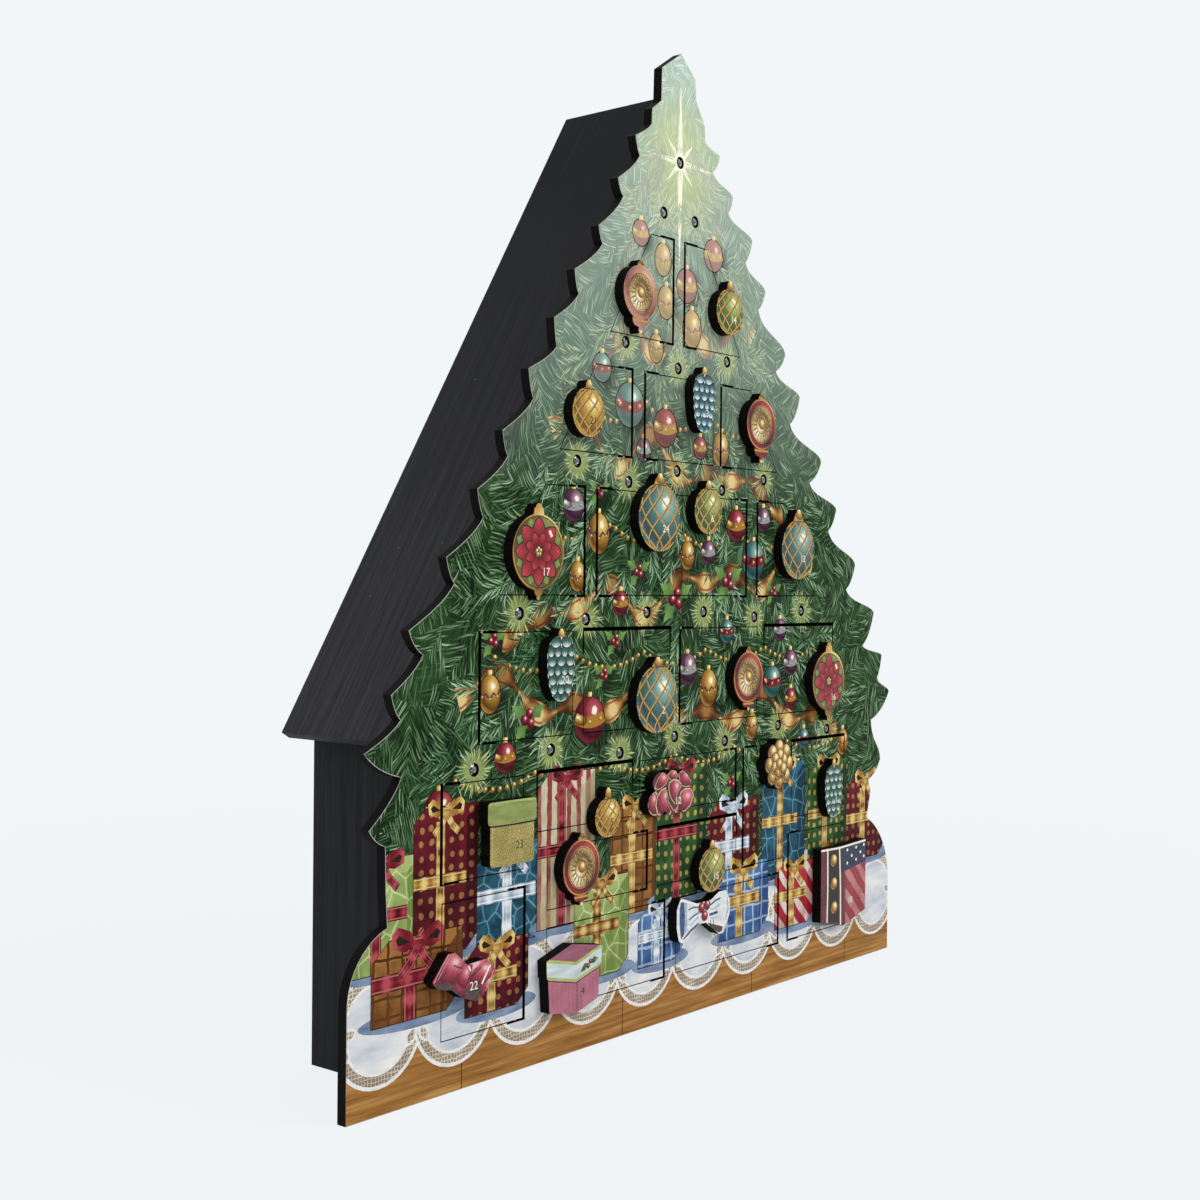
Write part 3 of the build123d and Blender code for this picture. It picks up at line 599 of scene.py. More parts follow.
painted_ribbon("ribbon_bronze", "#e2c583", "#a87c40", "#573719", "#8a3028")
painted_ribbon("ribbon_umber", "#9a7038", "#664320", "#2f1c0f", "#5a2019")
painted_ribbon("ribbon_ruby", "#b34a53", "#7d1f2a", "#430d15", "#b4706a")
painted_ribbon("ribbon_gold", "#e3c980", "#b1833a", "#68431b", "#dcc88f")
painted_ribbon("ribbon_silver", "#e6e9ea", "#b2bec8", "#6d8090", "#f4f6f7")
print("printed finishes:", len(prints))

# %% Painted leaves and needles
def painted_tip(name, root, mid, tip, gloss=False):
    """From root to tip along the motif's own x, with a brushed vein."""
    tree, skin, where, motif = printed(name, gloss)
    parts = add(tree, "SeparateXYZ", {0: motif})
    vein = add(tree, "Math", {0: parts[1]}, operation="ABSOLUTE")[0]
    brush = add(tree, "TexNoise", {"Vector": where, "Scale": 1 / 1.6, "Detail": 2.0})[0]
    run = add(tree, "Math", {0: vein, 1: -0.35, 2: parts[0]}, operation="MULTIPLY_ADD")[0]
    run = add(tree, "Math", {0: brush, 1: 0.5, 2: run}, operation="MULTIPLY_ADD")[0]
    run = add(tree, "MapRange", {0: run, 1: -0.9, 2: 1.2})[0]
    tone = add(tree, "ValToRGB", {0: run}, stops=[(0.05, root), (0.5, mid), (0.95, tip)])[0]
    tone = tone if gloss else hazed(tree, where, tone, "#e4e4cf", 0.7)
    coat(tree, skin, Base_Color=tone)


painted_tip("holly_leaf", "#15331b", "#2b5a2d", "#7ba054")
painted_tip("needle_dark", "#0a1a0a", "#1a381c", "#33573a")
painted_tip("needle_green", "#1f4022", "#446f48", "#7d9f78")
painted_tip("needle_pale", "#56794f", "#98b48c", "#d5e2c8")
painted_tip("needle_lit", "#7d8f3c", "#b9c774", "#eaefc4")
print("printed finishes:", len(prints))

# %% [markdown]
# ## Wrapping paper, cloth and floorboards
#
# At the foot of the tree stand wrapped boxes on a white cloth with a lace edge, over
# floorboards. Wrapping papers repeat a small figure every six to nine millimetres, so they
# are drawn on the object's own millimetres. Each takes the node that draws its figure and the
# limits between which the figure shows. The figure wavers as if drawn by hand, with more paint
# where the ground is light. The cloth has blue-grey hollows, the lace a net of small holes, and
# the boards a grain that is twenty-five times as long as it is wide.

# %% Wrapping papers
def wrapping(name, dark, light, figure, kind, inputs, limits, gloss=False, **settings):
    """Wrapping paper: a brushed ground, and a figure from one texture node, repeated by hand."""
    tree, skin, where, motif = printed(name, gloss)
    sheet = flat_sheet(tree, where)
    hand = add(tree, "TexNoise", {"Vector": sheet, "Scale": 1 / 8, "Detail": 1.0})["Color"]
    sheet = add(tree, "VectorMath", {0: hand, 1: [2.0, 2.0, 0.0], 2: sheet},
                operation="MULTIPLY_ADD")[0]
    brush = add(tree, "TexNoise", {"Vector": where, "Scale": 1 / 9, "Detail": 4.0})[0]
    fall = add(tree, "SeparateXYZ", {0: motif})[1]
    ground = add(tree, "Math", {0: fall, 1: 0.12, 2: brush}, operation="MULTIPLY_ADD")[0]
    tone = add(tree, "ValToRGB", {0: ground}, stops=[(0.34, dark), (0.74, light)])[0]
    drawn = add(tree, kind, {"Vector": sheet, **inputs}, **settings)[0]
    load = add(tree, "MapRange", {0: ground, 1: 0.32, 2: 0.62, 3: 0.45, 4: 0.95})[0]
    shown = add(tree, "MapRange", {0: drawn, 1: limits[0], 2: limits[1], 3: 0.0, 4: load})[0]
    tone = add(tree, "Mix", {0: shown, 6: tone, 7: linear(figure)}, data_type="RGBA")[2]
    coat(tree, skin, Base_Color=tone)


dots = dict(kind="TexVoronoi", inputs={"Scale": 1 / 6.0, "Randomness": 0.15}, limits=(0.26, 0.22),
            voronoi_dimensions="2D")
bars = dict(kind="TexWave", inputs={"Scale": 1 / 22.0, "Distortion": 0.3}, limits=(0.55, 0.62),
            bands_direction="X")
slant = dict(bars, bands_direction="DIAGONAL")
BLACK, WHITE = linear("#000000"), linear("#ffffff")
check = dict(kind="TexBrick", limits=(0.4, 0.6), offset=0.0,
             inputs={"Scale": 1 / 16.0, "Mortar Size": 0.04, "Brick Width": 0.5, "Row Height": 0.5,
                     "Color1": BLACK, "Color2": BLACK, "Mortar": WHITE})
curls = dict(kind="TexVoronoi", inputs={"Scale": 1 / 9.0}, limits=(0.06, 0.02),
             voronoi_dimensions="2D", feature="DISTANCE_TO_EDGE")
wrapping("wrap_blue", "#2b4a7c", "#587eac", "#bccbdc", **check)
wrapping("wrap_wine", "#3a0c15", "#6a1a26", "#a87846", **dots)
wrapping("wrap_lime", "#728744", "#a5b66e", "#ccd69c", **curls)
wrapping("wrap_cream", "#b0a27c", "#d6cbaa", "#8a2a34", **bars)
wrapping("wrap_teal", "#183a4a", "#34687c", "#6c9cae", **curls)
wrapping("wrap_pine", "#1e3a1f", "#446a36", "#bfa860", **dots)
wrapping("wrap_tan", "#6c421f", "#a26e38", "#472812", **check)
wrapping("wrap_candy", "#8f1d27", "#b5383f", "#e4d8ce", **slant)
print("printed finishes:", len(prints))

# %% Cloth, lace and boards
def brushed(name, size, stops, gloss=False):
    """Paint brushed in one direction. Size is that of a stroke in mm along x and z."""
    tree, skin, where, _ = printed(name, gloss)
    strokes = add(tree, "VectorMath", {0: where, 1: [1 / size[0], 0.0, 1 / size[1]]},
                  operation="MULTIPLY")[0]
    grain = add(tree, "TexNoise", {"Vector": strokes, "Scale": 1.0, "Detail": 5.0,
                                   "Roughness": 0.6})[0]
    tone = add(tree, "ValToRGB", {0: grain}, stops=stops)[0]
    coat(tree, skin, Base_Color=tone)


brushed("cloth_white", (34, 12), [(0.32, "#aab2c0"), (0.5, "#d6d8dc"), (0.68, "#efece6")])
brushed("cloth_shade", (16, 5), [(0.34, "#5f7390"), (0.66, "#93a3b8")])
brushed("lace_thread", (6, 2), [(0.3, "#d9d6d2"), (0.7, "#f8f5f0")])
brushed("star_light", (6, 6), [(0.3, "#f8f0c4"), (0.7, "#fffdf0")])
brushed("umber_line", (3, 3), [(0.3, "#1c120d"), (0.7, "#3a261b")])
brushed("floorboards", (60, 2.4), [(0.28, "#6e441c"), (0.5, "#a06f38"), (0.72, "#c8975a")])
wrapping("lace_net", "#8d7a5e", "#b39f80", "#f2f0ea", kind="TexVoronoi",
         inputs={"Scale": 1 / 1.8, "Randomness": 0.3}, limits=(0.14, 0.06), voronoi_dimensions="2D",
         feature="DISTANCE_TO_EDGE")
print("printed finishes:", len(prints))

# %% [markdown]
# ## The picture
#
# Now the sheet is laid out from back to front: the shade of the balls, lamp glows, the star,
# swags of beads, ribbons that twist as they wind round the tree, sprigs over them, the balls,
# and last the boxes on their cloth. Balls are strewn by a seeded dice, and a throw that would land
# under a knob or on a lamp or another ball is left out. All sizes are in millimetres.

# %% Places for the balls
TIP, SLOPE = 472, 0.53
THROWS, BALL_GAP, LAMP_ROOM = 4000, 5.0, 8


def half_width(z):
    """Half the tree's width at a height, roughly, from its tip and its slope."""
    return SLOPE * (TIP - z)


dice = random.Random(24)
taken = [(x, z, LAMP_ROOM) for x, z in lamps]
for loop in knobs.values():
    x, z, wide, high = middle(loop)
    taken.append((x, z, 0.5 * (wide + high)))
balls = []
for throw in range(THROWS):
    z = dice.uniform(112, 425)
    r = dice.uniform(5.5, 11.0)
    x = dice.uniform(-1, 1) * (half_width(z) - r - 6)
    if all(math.hypot(x - a, z - b) > r + c + BALL_GAP for a, b, c in taken):
        taken.append((x, z, r))
        balls.append((x, z, r))
print("places for balls:", len(balls))

# %% Shade, glows and star
LAMP_GLOW, STAR_GLOW = 11, 46
for x, z, r in balls:
    dot(picture, "fir_shade", x + 0.35 * r, z - 0.35 * r, 1.9 * r)
for x, z in lamps:
    dot(picture, "fir_boughs", x, z, LAMP_GLOW)
x, z = max(lamps, key=lambda p: p[1])
dot(picture, "fir_boughs", x, z, STAR_GLOW, 40)
# Short slanting rays, longer upright ones, and a beam that reaches far down
paint(picture, "star_light", rays(x, z, 15, 2.6, 4, math.pi / 4), (x, z, 20, 20))
paint(picture, "star_light", rays(x, z, 28, 2.6, 4), (x, z, 30, 30))
paint(picture, "star_light", [(x - 2.4, z), (x, z - 58), (x + 2.4, z), (x, z + 40)], (x, z, 30, 30))
print("picture so far:", len(picture), "motifs")

# %% Beads and ribbons
BEAD, BEAD_STEP, SWAG = 1.3, 4.6, 34
RIBBON, HALF_TURN = 11, 12  # the ribbon's width, and the steps in half a twist
swags = ((366, 2), (305, 3), (245, 4), (184, 5), (132, 6))
ribbons = ((338, 22, 1, 6), (276, 26, -1, 8), (214, 30, 1, 10), (156, 26, -1, 12))
for z, count in swags:
    reach = 0.86 * half_width(z)
    for bead in range(round(2 * reach / BEAD_STEP)):
        s = count * bead * BEAD_STEP / (2 * reach)
        x, low = bead * BEAD_STEP - reach, z - SWAG / count * 4 * (s % 1) * (1 - s % 1)
        dot(picture, "bead_gold", x, low, BEAD, 10)
for z, lift, side, turns in ribbons:
    reach, steps = 0.92 * half_width(z), HALF_TURN * turns
    path, widths = [], []
    for i in range(steps + 1):
        s, roll = 2 * i / steps - 1, math.cos(math.pi * i / HALF_TURN)
        path.append((side * reach * s, z + lift / 2 * s + 6 * math.sin(9 * s) - 5 * roll))
        widths.append(RIBBON * max(abs(roll), 0.2))
    for k in sorted(range(turns + 1), key=lambda k: -(k % 2)):
        part = slice(max(0, HALF_TURN * k - HALF_TURN // 2), HALF_TURN * k + HALF_TURN // 2 + 1)
        strip(picture, "ribbon_umber" if k % 2 else "ribbon_bronze", path[part], widths[part])
print("picture so far:", len(picture), "motifs")

# %% Sprigs over the ribbons and needles lit by the lamps
def needle(motifs, finish, x, z, way, long, wide):
    """One painted needle from its root: a slim four-cornered stroke."""
    root, ahead = Vector((x, z)), Vector((math.cos(way), math.sin(way)))
    aside = Vector((-ahead.y, ahead.x))
    stroke = [root, root + 0.4 * long * ahead - wide / 2 * aside, root + long * ahead,
              root + 0.4 * long * ahead + wide / 2 * aside]
    mid = root + long / 2 * ahead
    paint(motifs, finish, [tuple(p) for p in stroke], (mid.x, mid.y, long / 2, wide / 2), way)


SPRIGS, SPRIG_ROOM, PAIRS, PAIR_STEP = 260, 12, 5, 2.6
LIT_NEEDLES = 30  # round each lamp
greens = ("needle_dark", "needle_green", "needle_pale")
for throw in range(SPRIGS):
    z = dice.uniform(116, 440)
    x = dice.uniform(-0.94, 0.94) * half_width(z)
    way = -math.pi / 2 + 1.1 * x / half_width(z) + dice.uniform(-0.7, 0.7)
    if any(math.hypot(x - a, z - b) <= SPRIG_ROOM for a, b in lamps):
        continue
    for finish in greens if throw % 3 else greens[:2]:
        for k in range(PAIRS):
            for side in (-1, 1):
                far, lean = PAIR_STEP * k + dice.uniform(0, 2), side * dice.uniform(0.3, 0.75)
                needle(picture, finish, x + far * math.cos(way), z + far * math.sin(way),
                       way + lean, dice.uniform(6, 10), dice.uniform(0.6, 1.0))
for x, z in lamps:
    for k in range(LIT_NEEDLES):
        way = 2 * math.pi * (k + dice.uniform(-0.4, 0.4)) / LIT_NEEDLES
        root = dice.uniform(2.6, 5.0)
        needle(picture, "needle_lit" if k % 3 else "needle_pale", x + root * math.cos(way),
               z + root * math.sin(way), way + dice.uniform(-0.25, 0.25), dice.uniform(4, 9),
               dice.uniform(0.5, 0.9))
print("picture so far:", len(picture), "motifs")

# %% Balls and holly
kinds = ["ball_ruby", "ball_gold", "ball_plum", "ball_frost", "ball_teal"]
GOLD, HOLLY = 1, 3  # the long kind, and the one whose place holly takes
FEW_KINDS_ABOVE = 330  # from here up, all balls are ruby or gold
leaf_edge = ((0, 0), (0.3, 0.34), (0.5, 0.2), (0.85, 0.42), (1.05, 0.2), (1.5, 0),
             (1.05, -0.2), (0.85, -0.42), (0.5, -0.2), (0.3, -0.34))


def holly(motifs, x, z, r):
    """Three leaves and three berries."""
    for turn in (0.5, 2.6, 4.0):
        leaf = [(x + math.cos(turn) * u * r - math.sin(turn) * v * r,
                 z + math.sin(turn) * u * r + math.cos(turn) * v * r) for u, v in leaf_edge]
        paint(motifs, "holly_leaf", leaf, (x, z, 1.5 * r, 0.5 * r), turn)
    for turn in (1.2, 3.3, 5.4):
        dot(motifs, "ball_ruby", x + 0.3 * r * math.cos(turn), z + 0.3 * r * math.sin(turn),
            0.3 * r, 14)


for x, z, r in balls:
    i = (round(x / 17) + 2 * round(z / 23)) % (5 if z < FEW_KINDS_ABOVE else 2)
    kind, trim = kinds[i], kinds[(i + 1) % 5]
    if i == HOLLY:
        holly(picture, x, z, r)
        continue
    tall = 1.25 * r if i == GOLD else r
    cap = box_of(x - 1.4, x + 1.4, z + tall - 0.4, z + tall + 2.2)
    paint(picture, "umber_line", disc(x, z, r + 0.5, 24, tall + 0.5), (x, z, r, r))
    paint(picture, "bead_gold", cap, (x, z + tall, 3, 3))
    paint(picture, kind, disc(x, z, r, 24, tall), (x, z, r, tall))
    wave = [(x + 0.98 * r * math.sin(t), z - 0.12 * tall * math.cos(2 * t))
            for t in (-1.3, -0.8, -0.4, 0, 0.4, 0.8, 1.3)]
    if i == GOLD:
        wave = [(a, b + 0.14 * tall * (-1) ** k) for k, (a, b) in enumerate(wave)]
    strip(picture, trim, wave, 0.18 * r if i == GOLD else 0.5 * r)
    for k in range(1, 6, 2):
        dot(picture, "bead_gold", *wave[k], 0.11 * r, 8)
print("balls and holly:", len(balls))

# %% Boards, cloth and lace
paint(picture, "floorboards", box_of(-230, 230, -5, 42), (0, 20, 230, 25))
board_joints = (-150, -40, 70, 165)
for x in board_joints:
    paint(picture, "umber_line", box_of(x, x + 0.5, -5, 30), (x, 10, 20, 20))
paint(picture, "cloth_white", box_of(-230, 230, 34, 70), (0, 52, 230, 20))
SCALLOP = 44  # from one arch of the lace to the next
arch = (("lace_thread", 25), ("lace_net", 23.4), ("lace_thread", 19.4), ("cloth_white", 18))
for i in range(10):
    for finish, r in arch:
        dot(picture, finish, -198 + SCALLOP * i, 36, r, 36)
for i in range(11):
    x = -220 + SCALLOP * i
    flower(picture, "lace_thread", x, 34, 1.0, 11, 3.0, 5, math.pi / 2)
    flower(picture, "lace_net", x, 34, 3.2, 9.6, 1.7, 5, math.pi / 2)
print("picture so far:", len(picture), "motifs")

# %% Wrapped boxes
# Middle, foot, width and height of each box, its paper and its ribbon
boxes = [
    (-196, 58, 42, 46, "wrap_lime", "ribbon_ruby"), (-160, 60, 38, 62, "wrap_wine", "ribbon_gold"),
    (-118, 58, 46, 44, "wrap_teal", "ribbon_silver"),
    (-82, 60, 40, 70, "wrap_cream", "ribbon_ruby"),
    (-30, 58, 40, 54, "wrap_tan", "ribbon_gold"), (6, 60, 42, 66, "wrap_pine", "ribbon_ruby"),
    (52, 58, 46, 46, "wrap_wine", "ribbon_silver"), (100, 58, 42, 62, "wrap_teal", "ribbon_gold"),
    (146, 60, 42, 58, "wrap_pine", "ribbon_gold"), (188, 58, 44, 48, "wrap_wine", "ribbon_gold"),
    (-176, 36, 52, 34, "wrap_tan", "ribbon_ruby"), (-128, 30, 40, 30, "wrap_wine", "ribbon_gold"),
    (-56, 32, 40, 46, "wrap_lime", "ribbon_bronze"),
    (-10, 30, 36, 28, "wrap_blue", "ribbon_silver"),
    (62, 32, 46, 38, "wrap_blue", "ribbon_gold"), (112, 30, 40, 34, "wrap_candy", "ribbon_gold"),
    (156, 28, 46, 40, "wrap_tan", "ribbon_umber"),
]
LINE = 0.4  # how far the dark line stands out round a box
for x, z, wide, high, paper, ribbon in boxes:
    side, lid, band = 0.18 * wide, 0.16 * wide, 0.14 * wide
    x0, x1, z1 = x - wide / 2, x + wide / 2 - side, z + high - lid
    dark = [(x0 - LINE, z - LINE), (x1, z - LINE), (x1 + side + LINE, z + lid),
            (x1 + side + LINE, z1 + lid + LINE), (x0 + side, z1 + lid + LINE), (x0 - LINE, z1)]
    paint(picture, "cloth_shade", disc(x, z + 1, 0.64 * wide, 28, 5), (x, z, wide, 5))
    paint(picture, "umber_line", dark, (x, z, wide, high))
    paint(picture, paper, box_of(x0, x1, z, z1), ((x0 + x1) / 2, (z + z1) / 2, wide / 2, high / 2))
    paint(picture, paper, [(x0, z1), (x1, z1), (x1 + side, z1 + lid), (x0 + side, z1 + lid)],
          (x, z1 - high, wide / 2, high / 2))
    paint(picture, paper, [(x1, z), (x1 + side, z + lid), (x1 + side, z1 + lid), (x1, z1)],
          (x, z1 + 2 * high, wide / 2, high / 2))
    mid = (x0 + x1) / 2
    strip(picture, ribbon, [(mid, z), (mid, (z + z1) / 2), (mid, z1)], band)
    strip(picture, ribbon, [(mid, z1), (mid + side, z1 + lid)], band)
    strip(picture, ribbon, [(a, z + 0.5 * high) for a in (x0, mid, x1)], band)
    tied_bow(picture, ribbon, "umber_line", mid + side / 2, z1 + lid / 2, 0.26 * wide)
print("picture:", len(picture), "motifs")

# %% [markdown]
# ## Cutting the sheets
#
# The picture runs over the panel and all the doors, and then the saw goes through it. A
# constrained Delaunay triangulation does the same: it takes every outline, hole and motif at
# once, splits them where they cross, and says for each small triangle which shapes it lies in.
# The topmost motif gives the triangle its finish, and the board that it lies on decides the
# sheet it belongs to. Each sheet is then given a back and a rim, so it is a closed slip of
# paper 0.12 mm thick that rides on its own board.

# %% Cut the picture
def ordered(polygon):
    """A polygon with its points counter-clockwise."""
    return polygon if area_of(polygon) > 0 else polygon[::-1]


def cut(sheets, holes, motifs):
    """Cut a picture along its sheets. Gives the points, and each sheet's triangles and motifs."""
    rims = [(name, True) for name, _ in sheets] + [(name, False) for name, _ in holes]
    motifs = [motif for motif in motifs if abs(area_of(motif[0])) > 0.001]
    polygons = [loop for _, loop in sheets + holes] + [motif[0] for motif in motifs]
    spots, rings = [], []
    for polygon in polygons:
        rings.append(list(range(len(spots), len(spots) + len(polygon))))
        spots += [Vector(p) for p in ordered(polygon)]
    points, _, triangles, _, _, origins = delaunay_2d_cdt(spots, [], rings, 1, 1e-4)
    found = {name: [] for name, _ in sheets}
    for triangle, within in zip(triangles, origins):
        on = {rims[i][0] for i in within if i < len(rims) and rims[i][1]}
        off = {rims[i][0] for i in within if i < len(rims) and not rims[i][1]}
        shown = max((i - len(rims) for i in within), default=-1)
        for name in on - off:
            found[name].append((triangle, motifs[shown] if shown >= 0 else None))
    return points, found


print("a rectangle is cut into", len(cut([("sheet", box_of(0, 1, 0, 2))], [], [])[1]["sheet"]),
      "triangles")

# %% Make a closed sheet
OUTSIDE = 9.0  # the motif's coordinates where there is no motif


def lay_sheet(name, body, points, cut_faces, back, thick):
    """A closed slip of paper from cut triangles, on the board whose front is at back, in mm."""
    used = sorted({i for triangle, _ in cut_faces for i in triangle})
    order = {old: new for new, old in enumerate(used)}
    flat = [(points[i].x, points[i].y) for i in used]
    count = len(used)
    spots = [(x * MM, (back - thick) * MM, z * MM) for x, z in flat]
    spots += [(x * MM, back * MM, z * MM) for x, z in flat]
    faces, looks, rim = [], [], {}
    for triangle, motif in cut_faces:
        ring = [order[i] for i in triangle]
        faces += [ring, [i + count for i in ring[::-1]]]
        looks += [motif, motif]
        for pair in zip(ring, ring[1:] + ring[:1]):
            if pair[::-1] in rim:
                del rim[pair[::-1]]
            else:
                rim[pair] = motif
    for (a, b), motif in rim.items():
        faces.append([b, a, a + count, b + count])
        looks.append(motif)
    mesh = bpy.data.meshes.new(name)
    mesh.from_pydata(spots, [], faces)
    finishes = sorted({motif[1] if motif else "fir_boughs" for motif in looks})
    for finish in finishes:
        mesh.materials.append(prints[finish])
    own = mesh.uv_layers.new(name="motif").uv
    for face, motif in zip(mesh.polygons, looks):
        face.material_index = finishes.index(motif[1] if motif else "fir_boughs")
        for corner, spot in zip(face.loop_indices, face.vertices):
            u, v = OUTSIDE, OUTSIDE
            if motif:
                (x, z, wide, high), turn = motif[2:]
                dx, dz = flat[spot % count][0] - x, flat[spot % count][1] - z
                u = (dx * math.cos(turn) + dz * math.sin(turn)) / wide
                v = (dz * math.cos(turn) - dx * math.sin(turn)) / high
            own[corner].vector = (u, v)
    sheet = bpy.data.objects.new(name, mesh)
    bpy.context.scene.collection.objects.link(sheet)
    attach(sheet, body)
    return len(faces)


print("sheets to lay:", 1 + len(doors) + len(knobs))

# %% Lay the sheets
PAPER, PAD_ROOM = 0.12, 3.6  # the paper's thickness, and the hole round a knob's pad, in mm
sheets = [("front_panel", outline)]
holes = [("front_panel", loop) for loop in openings + lamp_holes]
for number, loops in doors.items():
    x, z = middle(loops[1])[:2]
    sheets.append((f"door_{number:02d}", loops[0]))
    holes.append((f"door_{number:02d}", disc(x, z, PAD_ROOM, 20)))
points, found = cut(sheets, holes, picture)
total = lay_sheet("panel_print", "case", points, found["front_panel"],
                  panel_front, PAPER)
print("panel print:", total, "faces")
total = 0
for number in numbers:
    name = f"door_{number:02d}"
    total += lay_sheet(f"{name}_print", f"{name}_leaf", points, found[name],
                       panel_front, PAPER)
print("door prints:", total, "faces")

# %% [markdown]
# ## The knobs' faces
#
# Each knob is a flat cut-out with a printed, glossy face: netted glass balls, fluted
# reflectors, frosted cones, flowers, boxes and bows. They are the traditional stock of a tree,
# so their patterns are worked out from each outline: a net follows the edge of its ball, the
# scales of a cone sit in rows across it, and petals go round a middle.

# %% Finishes of the knobs
for name, *tones in (
        ("glass_teal", "#8fb0a2", "#42706a", "#183a3c"),
        ("glass_green", "#b3c476", "#58793a", "#22421e"),
        ("glass_gold", "#e6cd78", "#b08a34", "#5c3f17"),
        ("glass_ruby", "#c25a5c", "#861f2a", "#3e0c14"),
        ("glass_rose", "#e2b9ae", "#b87f78", "#7d494b"),
        ("glass_cream", "#f2e3bc", "#c09c62", "#6d4a28"),
        ("glass_olive", "#b59f4a", "#6c6428", "#353a14"), ("gilt", "#f3dc92", "#bf9040", "#6a451a"),
        ("satin_red", "#cf6a70", "#98222f", "#4e0d18"),
        ("satin_rose", "#cf7a84", "#a23648", "#5b1422", "#e8b9bc")):
    painted_ball(name, *tones, gloss=True)
for name, *tones in (
        ("petal_red", "#2e060c", "#8a1420", "#b83c42"),
        ("leaf_green", "#1d3416", "#3f5c2a", "#86964c"),
        ("scale_teal", "#0d2c36", "#3f7079", "#dcecec"),
        ("scale_green", "#0b2824", "#36685e", "#d2e4d9")):
    painted_tip(name, *tones, gloss=True)
wrapping("glitter_gold", "#8d8042", "#b3a35c", "#e0d28c", gloss=True, kind="TexVoronoi",
         inputs={"Scale": 1 / 1.1}, limits=(0.32, 0.1), voronoi_dimensions="2D")
wrapping("box_candy", "#86202c", "#9f3540", "#c07f7c", gloss=True, **slant)
wrapping("box_pink", "#a35d70", "#c17f8d", "#b26d7e", gloss=True, kind="TexWave",
         inputs={"Scale": 1 / 9.0}, limits=(0.5, 0.7), bands_direction="X")
for name, stroke, dark, light in (
        ("box_rose", (20, 2), "#7f3f54", "#a5667a"), ("box_mint", (12, 3), "#aebfc0", "#dfe6e0"),
        ("box_lime", (9, 2), "#93a352", "#c2c979"), ("box_wine", (3, 12), "#4a1420", "#74303a"),
        ("lid_olive", (14, 4), "#6b7a3e", "#a0a860"), ("lid_navy", (12, 3), "#14182c", "#30395c"),
        ("bow_white", (7, 3), "#c3c9cf", "#f3f2ed"), ("bow_hollow", (5, 3), "#33282a", "#62504e"),
        ("fold_pale", (5, 3), "#8395b3", "#c4ced9"), ("fold_navy", (5, 3), "#22315a", "#52668f"),
        ("edge_cream", (4, 2), "#a98d62", "#dcc79c"), ("edge_rose", (4, 2), "#b9757b", "#dda9a8"),
        ("ink_dark", (3, 3), "#120d0a", "#2b2019"), ("ink_pale", (3, 3), "#ece2cc", "#fbf6ea")):
    brushed(name, stroke, [(0.3, dark), (0.7, light)], gloss=True)
print("printed finishes:", len(prints))

# %% Patterns for the knobs
def edges_at(loop, z):
    """The left and the right edge of a loop at a height."""
    hits = [a[0] + (z - a[1]) / (b[1] - a[1]) * (b[0] - a[0])
            for a, b in zip(loop, loop[1:] + loop[:1]) if (a[1] <= z) != (b[1] <= z)]
    return min(hits), max(hits)


def net(motifs, finish, loop, z0, z1, width):
    """Two sets of slanting lines round a ball, closer together towards its edges."""
    for lean in (-2.3, 2.3):
        for start in (-2.25, -1.5, -0.75, 0.0, 0.75, 1.5, 2.25):
            path = []
            for s in (i / 14 for i in range(15)):
                turn, level = start + lean * (s - 0.5), z0 + (z1 - z0) * s
                if abs(turn) < 1.45:
                    left, right = edges_at(loop, level)
                    path.append(((left + right) / 2 + (right - left) / 2 * math.sin(turn), level))
            if len(path) > 2:
                strip(motifs, "ink_dark", [(a + 0.25, b - 0.3) for a, b in path], width)
                strip(motifs, finish, path, width)


def numeral(motifs, finish, text, x, z, high):
    """A number in the plain built-in letters, as flat pieces."""
    words = bpy.data.curves.new("numeral", "FONT")
    words.body, words.size, words.resolution_u = text, high / 0.7, 3
    words.align_x = words.align_y = "CENTER"
    holder = bpy.data.objects.new("numeral", words)
    mesh = bpy.data.meshes.new_from_object(holder)
    for face in mesh.polygons:
        piece = [(x + mesh.vertices[i].co.x, z + mesh.vertices[i].co.y) for i in face.vertices]
        paint(motifs, finish, piece, (x, z, high, high))
    bpy.data.objects.remove(holder)
    bpy.data.meshes.remove(mesh)
    bpy.data.curves.remove(words)


print("patterns for", len(knobs), "knobs ready")
